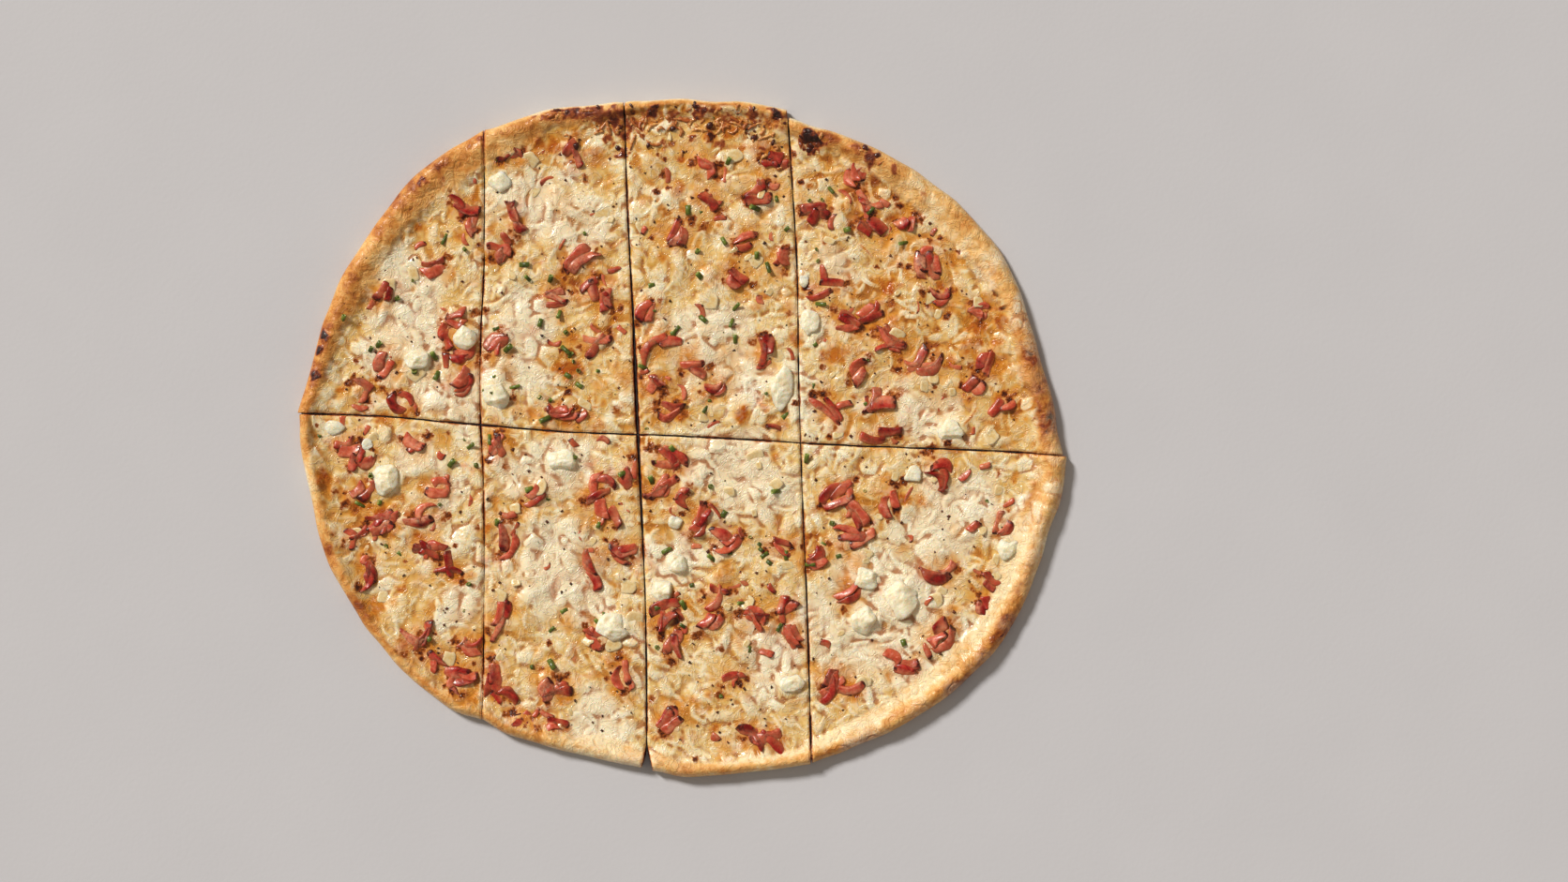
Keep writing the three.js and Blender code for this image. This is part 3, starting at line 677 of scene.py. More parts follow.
def pink_map(rng):
    """Ham that shows faintly through the cheese."""
    values = np.zeros(MAP_X.shape)
    everywhere = np.full(MAP_X.shape, 0.9)
    for _ in range(PINK_COUNT):
        x, y = random_spot(rng, everywhere)
        shape = [rng.uniform(0, math.pi), rng.uniform(*PINK_LENGTH), rng.uniform(*PINK_WIDTH)]
        stamp_ridge(values, x, y, *shape, rng.uniform(0.3, 0.8), rng.normal(0, 0.1))
    return values


draws = draws_for("maps")
WARM = warm_map()
CREAM = blob_map(CREAM_PLACES, seed=300, ragged=0.5, edge=0.7)
HAM_NEAR = ham_map(1.5)
HALO = soften(ham_map(3.5), 3)
STAIN = soften(ham_map(5), 3) * step_between(-0.5, 0.4, layered_noise(MAP_X, MAP_Y, 11, 65, 2))
MOUNDS, MOUND_TINT, MOUND_GOLD, MOUND_BROWN = mound_maps(draws, WARM)
CHIPS, CHIP_TINT = chip_maps(draws)
SHREDS, SHRED_GOLD, PALE = shred_maps(draws, WARM)
PATCHES = np.maximum(np.maximum(MOUND_GOLD, SHRED_GOLD), gold_map(draws, WARM))
GOLD = np.maximum(PATCHES * (1 - 0.6 * CREAM), amber_map(draws))
BROWN = np.maximum(brown_map(draws, WARM), MOUND_BROWN) * (1 - 0.7 * CREAM)
PINK = np.maximum(0.9 * pink_map(draws), 0.8 * HALO**2)
HILLS = soften(0.75 * MOUNDS, 5) + 0.75 * soften(SHREDS, 1)
CHIPS = soften(CHIPS, 3)
TINT = soften(np.where(CHIPS > HILLS, CHIP_TINT, MOUND_TINT), 2) * (1 - 0.5 * HAM_NEAR)
RELIEF_MEAN = 0.75
RELIEF = np.maximum(HILLS, CHIPS) - RELIEF_MEAN
RELIEF = RELIEF + 0.45 * HAM_NEAR + 0.9 * collar_map() + 0.8 * layered_noise(MAP_X, MAP_Y, 12, 71, 2)
# LIFT says how far each place stands above or sinks below its surroundings; the slice material paints
# highlight on raised places and shade in creases from it
LOCAL = soften(RELIEF, 1) - soften(RELIEF, 16)
LIFT = np.clip(0.5 + LOCAL / (4 * LOCAL.std()), 0, 1)

# How far the crust is baked, over the angle round the bread in degrees: 0 pale, 1 nearly burnt
CRUST_BAKE = [
    [-180, 0.4], [-170, 0.2], [-160, 0.4], [-150, 0.48], [-140, 0.4], [-130, 0.28], [-120, 0.36],
    [-110, 0.1], [-100, 0.06], [-90, 0.2], [-80, 0.1], [-70, 0.2], [-60, 0.18], [-48, 0.32], [-32, 0.4],
    [-20, 0.12], [-8, 0.22], [2, 0.58], [10, 0.74], [16, 0.5], [24, 0.26], [36, 0.18], [50, 0.16],
    [62, 0.34], [74, 0.48], [90, 0.46], [104, 0.44], [112, 0.46], [120, 0.38], [130, 0.4], [140, 0.42],
    [150, 0.3], [160, 0.48], [172, 0.5], [180, 0.4],
]

# Browner patches of the rim: [x, y, radius, how much]
RIM_PATCHES = [
    [-126, 90, 6, 0.2], [-120, 98, 5, 0.24], [-113, 105, 4, 0.24], [-101, 115, 4, 0.22], [-87, 124, 3, 0.2],
    [-138, 70, 6, 0.16], [-145, 58, 5, 0.16], [-149, 44, 4, 0.2], [-152, 28, 4, 0.2], [-66, 131, 5, 0.12],
    [-148, -48, 4, 0.2], [-137, -70, 5, 0.2], [-152, -30, 4, 0.16], [60, 126, 4, 0.25], [74, 120, 5, 0.2],
    [143, -25, 7, 0.5], [92, 112, 5, 0.14], [148, 36, 4, 0.2], [152, 8, 4, 0.22], [134, -83, 4, 0.2],
    [112, -104, 5, 0.12],
]

# How much of the rim's width is bare crust, over the same angle
BARE_CRUST = [
    [-180, 0.6], [-150, 0.5], [-125, 0.45], [-112, 0.7], [-102, 1.3], [-92, 0.9], [-80, 0.8], [-68, 1.1],
    [-50, 1.45], [-30, 1.3], [-12, 1.3], [0, 0.8], [12, 0.75], [22, 0.75], [35, 1.05], [60, 1.0], [70, 0.8],
    [76, 0.5], [96, 0.5], [104, 0.75], [118, 1.0], [150, 1.0], [168, 0.8], [180, 0.6],
]

# Flour on the crust: [angle, half the spread in degrees, how much]
FLOUR_PLACES = [[22, 9, 0.9], [-12, 10, 0.8], [-62, 8, 0.7], [-101, 9, 0.6], [-40, 12, 0.4], [3, 5, 0.3]]

# Nearly black places: [x, y, radius, how much]
CHAR_PLACES = [
    [-52, 137, 4, 0.8], [-44, 137.4, 3.5, 0.8], [-60, 136, 2.5, 0.5], [-36, 135.4, 4, 0.5],
    [-28, 134, 4, 0.55], [-24, 126, 3, 0.6], [-24.5, 118, 2.2, 0.7], [-31, 124, 2.4, 0.45],
    [-20, 131, 3, 0.5], [-12, 135.4, 2, 0.8], [-4, 134, 2.5, 0.4], [8, 135, 2.4, 0.7], [20, 132, 2.4, 0.4],
    [30, 134, 2.4, 0.5], [39, 134, 2.6, 0.95], [52.8, 124.8, 3.2, 0.9], [55.6, 123, 3, 0.9],
    [53.6, 121.4, 2.2, 0.6], [78, 116, 3, 0.6], [72, 120, 2.4, 0.45], [-107.7, 107, 2.4, 0.65],
    [-149, 43, 2.6, 1.0], [-151.6, 36, 2.8, 1.0], [-153, 27, 2.4, 0.9], [-100, 106, 2.4, 0.3],
    [150, 6, 2.4, 0.5], [146, 32, 2.6, 0.45], [133.5, -82.5, 1.2, 0.8], [88, 112, 2, 0.4],
    [-76, 127, 2.4, 0.3], [-84, 124, 2.2, 0.35], [-133, 76, 3, 0.25], [-126, 86, 2.6, 0.25],
    [-119, 97, 2.6, 0.3], [100, 100, 2, 0.3], [4, 124, 1.6, 0.5], [16, 122, 1.8, 0.4], [-8, 122, 1.6, 0.4],
    [34, 120, 2, 0.5],
]

# The scorched band along the far rim: its middle in X and Y, and half its width
SCORCHED_LINE = [
    [-62, 133.8], [-50, 133], [-38, 134.4], [-24, 132], [-11, 134.6], [5, 134.8], [24, 133.4], [44, 129.4],
]
SCORCHED_HALF_WIDTH = 3.4
GLAZED_HALF_WIDTH = 6.0

# The lengths in X over which the band fades in at its left end and out at its right
BAND_FADES_IN = [-66, -52]
BAND_FADES_OUT = [38, 48]


def far_band(half_width):
    """A soft band along the far rim."""
    away = (MAP_Y - smooth_line(SCORCHED_LINE, MAP_X)) / half_width
    ends = step_between(*BAND_FADES_IN, MAP_X) * step_between(*BAND_FADES_OUT[::-1], MAP_X)
    return ends * np.exp(-(away**2))


def scorched_band():
    """Dark glossy cheese along the far rim, broken up into spots."""
    blots = layered_noise(MAP_X, MAP_Y, 4.6, 151, 2) + 0.35 * noise(MAP_X, MAP_Y, 17, 157)
    broken = step_between(-0.8, 0.0, noise(MAP_X, 0.4 * MAP_Y, 13, 159))
    return far_band(SCORCHED_HALF_WIDTH) * broken * (0.34 + 0.36 * step_between(0.12, 0.6, blots))


char_spots = blob_map(CHAR_PLACES, seed=3000, ragged=0.7, edge=1.0)
CHAR = np.maximum(char_spots, scorched_band())
RIM_BAKE = soften(blob_map(RIM_PATCHES, seed=3500, ragged=0.7, edge=1.4), 2)
toasted_spots = soften(blob_map(TOAST_PLACES, seed=3800, ragged=0.6, edge=1.2), 2)
TOAST = np.maximum(toasted_spots, 0.85 * far_band(GLAZED_HALF_WIDTH))
TOAST = np.clip(np.maximum(TOAST, 0.4 * (WARM - 0.2)) * (1 - 0.7 * CREAM), 0, 1)


# Meshes
def make_piece(name, points, faces, material, values):
    """One piece of the object from points in millimetres, triangles and named values at the points."""
    points = np.array(points, np.float32) * MM
    points[:, 2] = flattened(points[:, 2] / MM) * MM
    faces = np.asarray(faces, np.int32)
    mesh = bpy.data.meshes.new(name)
    mesh.vertices.add(len(points))
    mesh.vertices.foreach_set("co", points.ravel())
    mesh.loops.add(faces.size)
    mesh.loops.foreach_set("vertex_index", faces.ravel())
    mesh.polygons.add(len(faces))
    mesh.polygons.foreach_set("loop_start", np.arange(0, faces.size, 3, dtype=np.int32))
    mesh.update(calc_edges=True)
    mesh.shade_smooth()
    for label, numbers in values.items():
        layer = mesh.attributes.new(label, "FLOAT", "POINT")
        layer.data.foreach_set("value", np.asarray(numbers, np.float32))
    mesh.materials.append(material)
    thing = bpy.data.objects.new(name, mesh)
    bpy.context.scene.collection.objects.link(thing)
    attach(thing, "root")
    return thing


class Heap:
    """Many small bodies of one kind, gathered into one mesh."""

    def __init__(self):
        self.points, self.faces, self.values, self.count = [], [], {}, 0

    def add(self, points, faces, **values):
        self.points.append(points)
        self.faces.append(np.asarray(faces) + self.count)
        for label, numbers in values.items():
            self.values.setdefault(label, []).append(np.broadcast_to(numbers, len(points)))
        self.count += len(points)

    def make(self, name, material):
        values = {label: np.concatenate(parts) for label, parts in self.values.items()}
        points, faces = np.concatenate(self.points), np.concatenate(self.faces)
        return make_piece(name, points, faces, material, values)


def ring_faces(rings, sides, closed=True):
    """Triangles of a body made of rings, with a first and a last point as its ends if closed."""
    first = 1 if closed else 0
    k = np.arange(sides)
    following = (k + 1) % sides
    faces = []
    for ring in range(rings - 1):
        here = first + ring * sides
        beyond = here + sides
        faces.append(np.column_stack([here + k, beyond + k, beyond + following]))
        faces.append(np.column_stack([here + k, beyond + following, here + following]))
    if closed:
        last = 1 + rings * sides
        faces.append(np.column_stack([np.zeros(sides, int), first + k, first + following]))
        faces.append(np.column_stack([np.full(sides, last), last - sides + following, last - sides + k]))
    return np.concatenate(faces)


def turned(x, y, a, b, turn):
    """Places at a along and b across from a centre, turned about it."""
    return x + a * math.cos(turn) - b * math.sin(turn), y + a * math.sin(turn) + b * math.cos(turn)


def capped(rings):
    """The points of some rings, with the middle of the first ring before them and of the last after."""
    return np.concatenate([rings[0].mean(axis=0)[None], *rings, rings[-1].mean(axis=0)[None]])


def circle(sides):
    return np.arange(sides) / sides * 2 * math.pi


# The fine mesh of a slice: the steps of its grid, closer ones beside a cut, and the rows of its wall
FINE_STEP = 0.59
CUT_STEPS = np.array([0.14, 0.34, 0.75])
WALL_SHARES = [0.12, 0.3, 0.5, 0.7, 0.86, 1.0]
CRUMB_ROUGH = 0.28

# The topping droops beside a cut, its lips reach over it, and the walls lean in to nearly shut the slit
CUT_DROOP = 0.5
CUT_SOFT = 0.5
SLIT_FOOT = 0.14
MOST_LEAN = 0.9
# The lips' char value darkens the topping along each cut's edge: painted shade of the slit, not charring
LIP = {"length": 6, "reach": 0.26, "seed": 171, "char": 0.42, "width": 0.5}

# How much further the lips reach over each short cut, and how near a point lies that counts as on a cut
TIGHTER = [0.14, 0, 0.04]
ON_CUT = 0.03


def crossing(cut, side, row):
    x = short_cut_x(cut, 0.0, side)
    for _ in range(4):
        x = short_cut_x(cut, long_cut_y(x, row), side)
    return x, long_cut_y(x, row)


def leant_out(piece, x, y, share, rough):
    """Points on the cuts, pushed into them: a little at the lips, and at the foot until they nearly meet."""
    row = piece["row"]
    line = long_cut_y(x, row)
    lip = LIP["reach"] * step_between(-0.4, 0.6, layered_noise(x, y, LIP["length"], LIP["seed"] + row, 2))
    lean = mix(lip, HALF_CUT - SLIT_FOOT, share) - rough
    shifted = np.where(np.abs(y - line) < ON_CUT, line - row * lean, y)
    for cut, side in ((piece["left"], 1), (piece["right"], -1)):
        if cut is not None:
            wall, middle = short_cut_x(cut, y, side), short_cut_x(cut, y, 0)
            most = np.minimum(np.abs(wall - middle) - SLIT_FOOT, MOST_LEAN)
            lean = mix(lip + TIGHTER[cut], most, share) - rough
            x = np.where(np.abs(x - wall) < ON_CUT, wall - side * lean, x)
    return x, shifted


def slice_sides(piece):
    """The four sides of a slice as functions of 0 to 1, each giving columns of X and Y."""
    row = piece["row"]

    def edge(u):
        return np.column_stack(edge_point(piece, u))

    def cut_side(cut, side, end):
        start = crossing(cut, side, row)

        def line(t):
            y = mix(start[1], end[1], t)
            return np.column_stack([short_cut_x(cut, y, side), y])

        return line

    first, last = edge(np.array([0.0, 1.0]))
    left = edge if piece["left"] is None else cut_side(piece["left"], 1, first)
    right = (lambda t: edge(1 - t)) if piece["right"] is None else cut_side(piece["right"], -1, last)
    zero = np.zeros(1)
    inner, outer = left(zero)[0], right(zero)[0]

    def near(s):
        x = mix(inner[0], outer[0], s)
        return np.column_stack([x, long_cut_y(x, row)])

    if piece["left"] is None or piece["right"] is None:
        tip = last if piece["left"] is None else first
        return left, right, near, lambda s: np.broadcast_to(tip, (len(s), 2))
    return left, right, near, edge


def stops(length, first_cut, last_cut):
    """Even fine steps over a length, with closer ones beside a cut."""
    even = np.linspace(0, 1, round(length / FINE_STEP) + 1)
    extra = CUT_STEPS / length
    parts = [even]
    if first_cut:
        parts.append(extra)
    if last_cut:
        parts.append(1 - extra)
    return np.unique(np.concatenate(parts))


def surface_grid(piece):
    left, right, near, far = slice_sides(piece)
    ends = np.array([0.0, 1.0])
    middle = piece["left"] is not None and piece["right"] is not None
    wide = np.hypot(*(near(ends)[1] - near(ends)[0]))
    side = left if piece["left"] is None else right
    long = np.hypot(*np.diff(side(np.linspace(0, 1, 40)), axis=0).T).sum()
    s = stops(wide, piece["left"] is not None, piece["right"] is not None)
    t = stops(long, True, False)
    across = left(t)[:, None] + (right(t) - left(t))[:, None] * s[None, :, None]
    along = near(s)[None] + (far(s) - near(s))[None] * t[:, None, None]
    (a, b), (c, d) = near(ends), far(ends)
    low = a + (b - a) * s[:, None]
    high = c + (d - c) * s[:, None]
    corners = low[None] + (high - low)[None] * t[:, None, None]
    return across + along - corners, middle


# Parts of the rim by angle in degrees: [begins, full from], [ends, full until]
LOWER_RIGHT = [[-98, -80], [-4, -20]]
FAR_SIDE = [[58, 68], [124, 114]]


def part_of_rim(angle, part):
    begins, ends = part
    return step_between(*begins, angle) * step_between(*ends, angle)


def crust_values(x, y, rim):
    """How much crust, bake and flour show at points on top."""
    depth, width = rim
    across = depth / width
    angle = np.degrees(np.arctan2(y, x))
    ragged = 0.16 * layered_noise(x, y, 9, 81) + 0.06 * noise(x, y, 2.4, 85)
    bare = smooth_line(BARE_CRUST, angle)
    crust = step_between(bare + 0.14, bare - 0.14, across + ragged)
    bake = smooth_line(CRUST_BAKE, angle) + 0.2 * layered_noise(x, y, 15, 91, 2) + read_map(RIM_BAKE, x, y)
    bake = bake + 0.12 * (1 - np.clip(np.abs(across - 0.45) * 2.5, 0, 1))
    blotches = 0.5 * layered_noise(x, y, 13, 93, 2)
    blotchy = 0.16 + 0.5 * blotches - 0.5 * step_between(0.4, 1.0, across + blotches)
    bake = bake + part_of_rim(angle, LOWER_RIGHT) * blotchy
    bake = bake - 0.4 * part_of_rim(angle, FAR_SIDE) * step_between(0.24, 0.06, across)
    flour = flour_share(x, y, across)
    folds = flour * wrinkle(x, y)
    return crust, np.clip(bake + 0.5 * folds, 0, 1), flour * (1 - folds)


def flour_share(x, y, across):
    angle = np.degrees(np.arctan2(y, x))
    flour = np.zeros(np.shape(x))
    for centre, spread, much in FLOUR_PLACES:
        flour = np.maximum(flour, much * np.exp(-(((angle - centre) / spread) ** 2)))
    patchy = step_between(-0.1, 0.5, layered_noise(x, y, 7, 101) + 0.3 * (1 - across))
    return flour * patchy * step_between(1.3, 0.9, across)


def wrinkle(x, y):
    """Narrow folds, 1 along their lines and 0 between them."""
    return np.exp(-((noise(x, y, 4.2, 117) / 0.16) ** 2))


def crust_relief(x, y, rim, flour):
    """Blisters and wrinkles of the rim, and the gentle fall of its inner side where the dough is wide."""
    depth, width = rim
    on_rim = step_between(1.6, 0.9, depth / width)
    blisters = 0.9 * np.maximum(0, noise(x, y, 9, 111)) ** 1.3 + 0.5 * layered_noise(x, y, 6, 113, 2)
    swell = 1.1 * np.exp(-(((depth / width - 0.95) / 0.42) ** 2))
    return on_rim * (blisters + swell - (0.3 + 0.5 * flour) * wrinkle(x, y))


# The charring swells a little, and fades on the rounded outer edge, which is steep
CHAR_SWELL = [0.2, 0.7]
CHAR_AT_EDGE = 0.15
CHAR_FADES = [0.2, 1.9]

# The maps that the material of a slice reads
TOP_MAPS = {
    "gold": GOLD, "brown": BROWN, "white": CREAM, "lift": LIFT, "tint": TINT, "pink": PINK, "pale": PALE,
    "stain": STAIN, "toast": TOAST,
}


def slice_top(x, y, rim, away):
    """Heights of a slice's upper surface, its charring and all that its material reads there."""
    crust, bake, flour = crust_values(x, y, rim)
    char = read_map(CHAR, x, y)
    relief = read_map(RELIEF, x, y) * (1 - crust) + crust_relief(x, y, rim, flour)
    relief = relief + char * (CHAR_SWELL[0] + CHAR_SWELL[1] * np.abs(noise(x, y, 1.9, 163)))
    droop = CUT_DROOP * np.exp(-((away / CUT_SOFT) ** 2))
    z = top_height(x, y, rim) + step_between(0, 2.2, rim[0]) * (relief - droop)
    char = char * mix(CHAR_AT_EDGE, 1, step_between(*CHAR_FADES, rim[0]))
    # Painted shade: the topping's edge along a cut is darkened and added to the char value
    lip = LIP["char"] * step_between(LIP["width"], 0, away) * step_between(-0.7, 0.3, noise(x, y, 9, 173))
    looks = {label: read_map(values, x, y) for label, values in TOP_MAPS.items()}
    looks.update(crust=crust, bake=bake, flour=flour, char=np.maximum(char, lip))
    return np.maximum(z, WIDEST_HEIGHT), char, looks


def grid_faces(rows, columns, middle):
    """Triangles of a slice's top, and the loop of points round it."""
    index = np.arange(rows * columns).reshape(rows, columns)
    if not middle:
        index[-1, :] = index[-1, 0]
    a, b, c, d = index[:-1, :-1], index[:-1, 1:], index[1:, 1:], index[1:, :-1]
    top = np.concatenate([
        np.column_stack([a.ravel(), b.ravel(), c.ravel()]),
        np.column_stack([a.ravel(), c.ravel(), d.ravel()]),
    ])
    loop = np.concatenate([index[0], index[:, -1], index[-1, ::-1], index[::-1, 0]])
    return top, loop[loop != np.roll(loop, -1)]


def wall_points(piece, x, y, z, depth):
    """Rows of points down the wall, drawn in under the rim and leant into the cuts."""
    inset = FOOT_INSET * np.maximum(0, 1 - depth / (2 * FOOT_INSET))
    share = 1 - inset / np.hypot(x, y)
    rows = []
    for part in WALL_SHARES:
        pull = 1 - math.sqrt(1 - part**2)
        wx, wy = mix(x, x * share, pull), mix(y, y * share, pull)
        rough = CRUMB_ROUGH * np.abs(layered_noise(x + y, 40 * part, 2.2, 121))
        wx, wy = leant_out(piece, wx, wy, math.sqrt(part), rough)
        rows.append(np.column_stack([wx, wy, z * (1 - part)]))
    return rows


def wall_faces(loop, first):
    """Triangles of the wall below a loop of points, and of the underside."""
    count = len(loop)
    walls = []
    upper = loop
    for k in range(len(WALL_SHARES)):
        lower = first + k * count + np.arange(count)
        walls.append(np.column_stack([upper, lower, np.roll(lower, -1)]))
        walls.append(np.column_stack([upper, np.roll(lower, -1), np.roll(upper, -1)]))
        upper = lower
    centre = np.full(count, first + len(WALL_SHARES) * count)
    walls.append(np.column_stack([upper, centre, np.roll(upper, -1)]))
    return np.concatenate(walls)


def slice_values(looks, loop, char, away, depth):
    """What the material reads on the top, on each row of the wall and at the middle of the underside."""
    cut_wall = step_between(0.9, 0.2, away) * step_between(0.3, 1.2, depth)
    crumb = [cut_wall * step_between(0.1, 0.34, part) for part in WALL_SHARES]
    # Painted shade: the cut walls are painted dark brown below their top, through the char value, so the
    # narrow slit reads dark from above
    slit_shade = [0.9 * cut_wall * step_between(-0.05, 0.2, part) for part in WALL_SHARES]
    walls = {
        "crust": [1 - pale for pale in crumb],
        "bake": [looks["bake"][loop] * 0.9] * (len(WALL_SHARES) - 1) + [0.5],
        "char": [np.maximum(dark, 0.5 * char * (1 - part) ** 5) for dark, part in zip(slit_shade, WALL_SHARES)],
        "crumb": crumb,
        "under": [0.0] * (len(WALL_SHARES) - 2) + [0.25, 1.0],
    }
    values = {}
    for label in looks | walls:
        top = looks.get(label, np.zeros(len(looks["bake"])))
        wall = walls.get(label, [0.0] * len(WALL_SHARES))
        rows = [np.broadcast_to(row, len(loop)) for row in wall]
        values[label] = np.concatenate([top, *rows, [wall[-1] if np.isscalar(wall[-1]) else 0]])
    return values


def make_slice(piece, number, material):
    grid, middle = surface_grid(piece)
    x, y = grid[..., 0].ravel(), grid[..., 1].ravel()
    rim = inside_outline(x, y)
    away = cut_distance(piece, x, y)
    z, char, looks = slice_top(x, y, rim, away)
    top, loop = grid_faces(*grid.shape[:2], middle)
    walls = wall_points(piece, x[loop], y[loop], z[loop], rim[0][loop])
    surface = np.column_stack([*leant_out(piece, x, y, 0, 0), z])
    underside = np.append(walls[-1][:, :2].mean(axis=0), 0)
    points = np.concatenate([surface, *walls, underside[None]])
    faces = np.concatenate([top, wall_faces(loop, len(x))])
    faces = faces[(faces != np.roll(faces, 1, axis=1)).all(axis=1)]
    if piece["row"] < 0:
        faces = faces[:, ::-1]
    values = slice_values(looks, loop, char[loop], away[loop], rim[0][loop])
    return make_piece(f"baked_slice_{number}", points, faces, material, values)


# Strips and bits of ham, which lie deeper in the topping than the plain strips of the source
HAM_SUNK = STRIP_SUNK + 0.75
HAM_LOWEST = 1.6
HAM_FROM_CUT = 0.12

# Shares of the strips that are pale, dark all over, or burnt at one end
HAM_PALE_SHARE = 0.28
HAM_DARK_SHARE = 0.25
HAM_BURNT_SHARE = 0.85


def ham_section(rng, share, length, width, thick, seed, sides):
    """Where a strip's points lie from its middle line: across, along and up, and their angle's cosine."""
    around = -(np.arange(sides) + 0.5) / sides * 2 * math.pi
    cosine = np.sign(np.cos(around)) * np.abs(np.cos(around)) ** 0.65
    sine = np.sign(np.sin(around)) * np.abs(np.sin(around)) ** 0.7
    taper = 0.6 + 0.4 * np.sqrt(1 - np.abs(share) ** 7)
    body = taper * (1 + 0.2 * noise(share * length / 2, 0 * share, 4, seed))
    twist = rng.normal(0, 0.3) + rng.normal(0, 0.35) * share
    across = (width / 2) * body[:, None] * cosine
    slant = rng.normal(0, 0.3) * across * np.abs(share[:, None]) ** 3
    up = (thick / 2) * body[:, None] * sine + twist[:, None] * across
    return across, slant, np.where(up < 0, up * 1.5, up), cosine


def ham_body(piece, row, rng, stations, sides, thick):
    """A bent and twisted strip: its points with both ends closed, and how they lie along and across it."""
    x, y, turn, length, *rest = row
    width = rest[0] if rest else STRIP_WIDTH
    angle = math.radians(turn)
    seed = int(rng.integers(1, 10**6))
    bend = STRIP_BEND * float(noise(x, y, SMALL_WAVE["length"], SMALL_WAVE["seed"])) + rng.normal(0, 0.1)
    share = np.sin(np.linspace(-0.5, 0.5, stations) * math.pi)
    reach = share * length / 2
    px, py = turned(x, y, reach, length * bend * (1 - share**2), angle)
    middle = read_map(HEIGHT, px, py) + thick / 2 - HAM_SUNK
    middle = middle.mean() * 0.5 + middle * 0.5 + 0.3 * noise(reach, 0 * reach, 5, seed + 3)
    across, slant, up, cosine = ham_section(rng, share, length, width, thick, seed, sides)
    vx = px[:, None] - math.sin(angle) * across + math.cos(angle) * slant
    vy = py[:, None] + math.cos(angle) * across + math.sin(angle) * slant
    vz = middle[:, None] + up
    vx = vx + 0.5 * noise(vx, vy + vz, 3.6, seed + 5)
    vy = vy + 0.5 * noise(vx, vy - vz, 3.6, seed + 6)
    vz = np.maximum(vz + 0.25 * noise(vx, vy, 3, seed + 7), HAM_LOWEST)
    vx, vy = keep_on_slice(piece, vx, vy, HAM_FROM_CUT)
    return capped(np.stack([vx, vy, vz], axis=-1)), share, reach, across, cosine, seed


def ham_strip(heap, piece, row, rng, stations=15, sides=16, thick=STRIP_THICK):
    """A strip of ham with its rind and painted shade on its sides, fat and charred end, under cheese where
    it is sunk.
    """
    points, share, reach, across, cosine, seed = ham_body(piece, row, rng, stations, sides, thick)

    def spread(values):
        flat = np.broadcast_to(values, (stations, sides)).ravel()
        return np.concatenate([flat[:1], flat, flat[-1:]])

    above = points[:, 2] - read_map(HEIGHT, points[:, 0], points[:, 1])
    sunk = step_between(1.25, 0.15, above)
    pale = rng.uniform() < HAM_PALE_SHARE
    dark = 0.28 * (rng.uniform() < HAM_DARK_SHARE)
    film = step_between(-0.1, 0.6, noise(points[:, 0], points[:, 1], 4, seed + 9)) * rng.uniform(0, 0.6)
    film = np.maximum(film, 0.45 * pale)
    ends = step_between(0.75, 1.0, np.abs(share))
    # Darkened sides and ends of each strip: darker cooked edges, and on the sides partly painted shade
    rind = np.maximum(step_between(0.7, 1.0, np.abs(cosine)), ends[:, None])
    streak = step_between(0.0, 0.4, noise(across, 0.15 * reach[:, None], 1.3, seed + 11))
    streak = streak * rng.uniform(0.2, 1)
    tip = step_between(0.45, 0.95, share * rng.choice([-1, 1]))
    tip = tip * (rng.uniform() < HAM_BURNT_SHARE) * rng.uniform(0.5, 1)
    char = spread(np.maximum(tip, dark)[:, None])
    heap.add(
        points, ring_faces(stations, sides), veil=np.maximum(sunk, film), rind=spread(rind),
        fat=spread(streak), char=char, tone=0 if pale else rng.uniform(0.3, 1),
    )


def ham_group(row, rng):
    """The narrow strips that a broad patch of ham is made of."""
    x, y, turn, length, *rest = row
    width = max(rest[0] if rest else STRIP_WIDTH, 4.6)
    count = 2 if width < 4.8 else 3 if width < 6.5 else 4
    strips = []
    for k in range(count):
        shift = (k / (count - 1) - 0.5) * (width - 1.8)
        slide = rng.normal(0, 0.16) * length
        px, py = turned(x, y, slide, shift, math.radians(turn))
        long = length * rng.uniform(0.6, 1.05)
        strips.append([px, py, turn + rng.normal(0, 26), long, rng.uniform(3.0, 5.2)])
    return strips


HEIGHT = flattened(top_height(MAP_X, MAP_Y) + RELIEF)

# Smaller bits of ham: [x, y]
SMALL_HAM = [
    [-87, 109.5], [-84.5, 102], [-109, 80], [-129, 55], [-91, 46], [-98, 32], [-148, 16], [-28, 70],
    [-25, 45], [-53, 40], [-42, 9], [-55, 106], [-36, 93], [-6, 109], [16, 91], [38, 85], [-16, 86],
    [7, 52], [-17, 45], [-1, 19], [45, 35], [13.5, 5], [38, 4], [56, 63], [60, 39], [108, 14], [121, 3],
    [141, 19], [-131, 3.5], [-100, -7], [-88, -27], [-131, -51], [-56, -53], [-60, -73], [-24, -29],
    [-42, -41], [-45, -2], [-33, -2], [-57, -114], [-2, -66], [25, -39], [13, -31], [22, -62], [22, -3],
    [14, -125], [94, -42], [126, -12], [117, -15], [102, -68], [85, -107], [121, -37],
]

# The share of patches with one more bit beside them, and the sizes of the bits
BESIDE_HAM_SHARE = 0.75
BESIDE_HAM_SHIFT = 6
BIT_LENGTH = [3.5, 8]
BIT_WIDTH = [2, 3.4]
BIT_THICK = [1.6, 2.4]


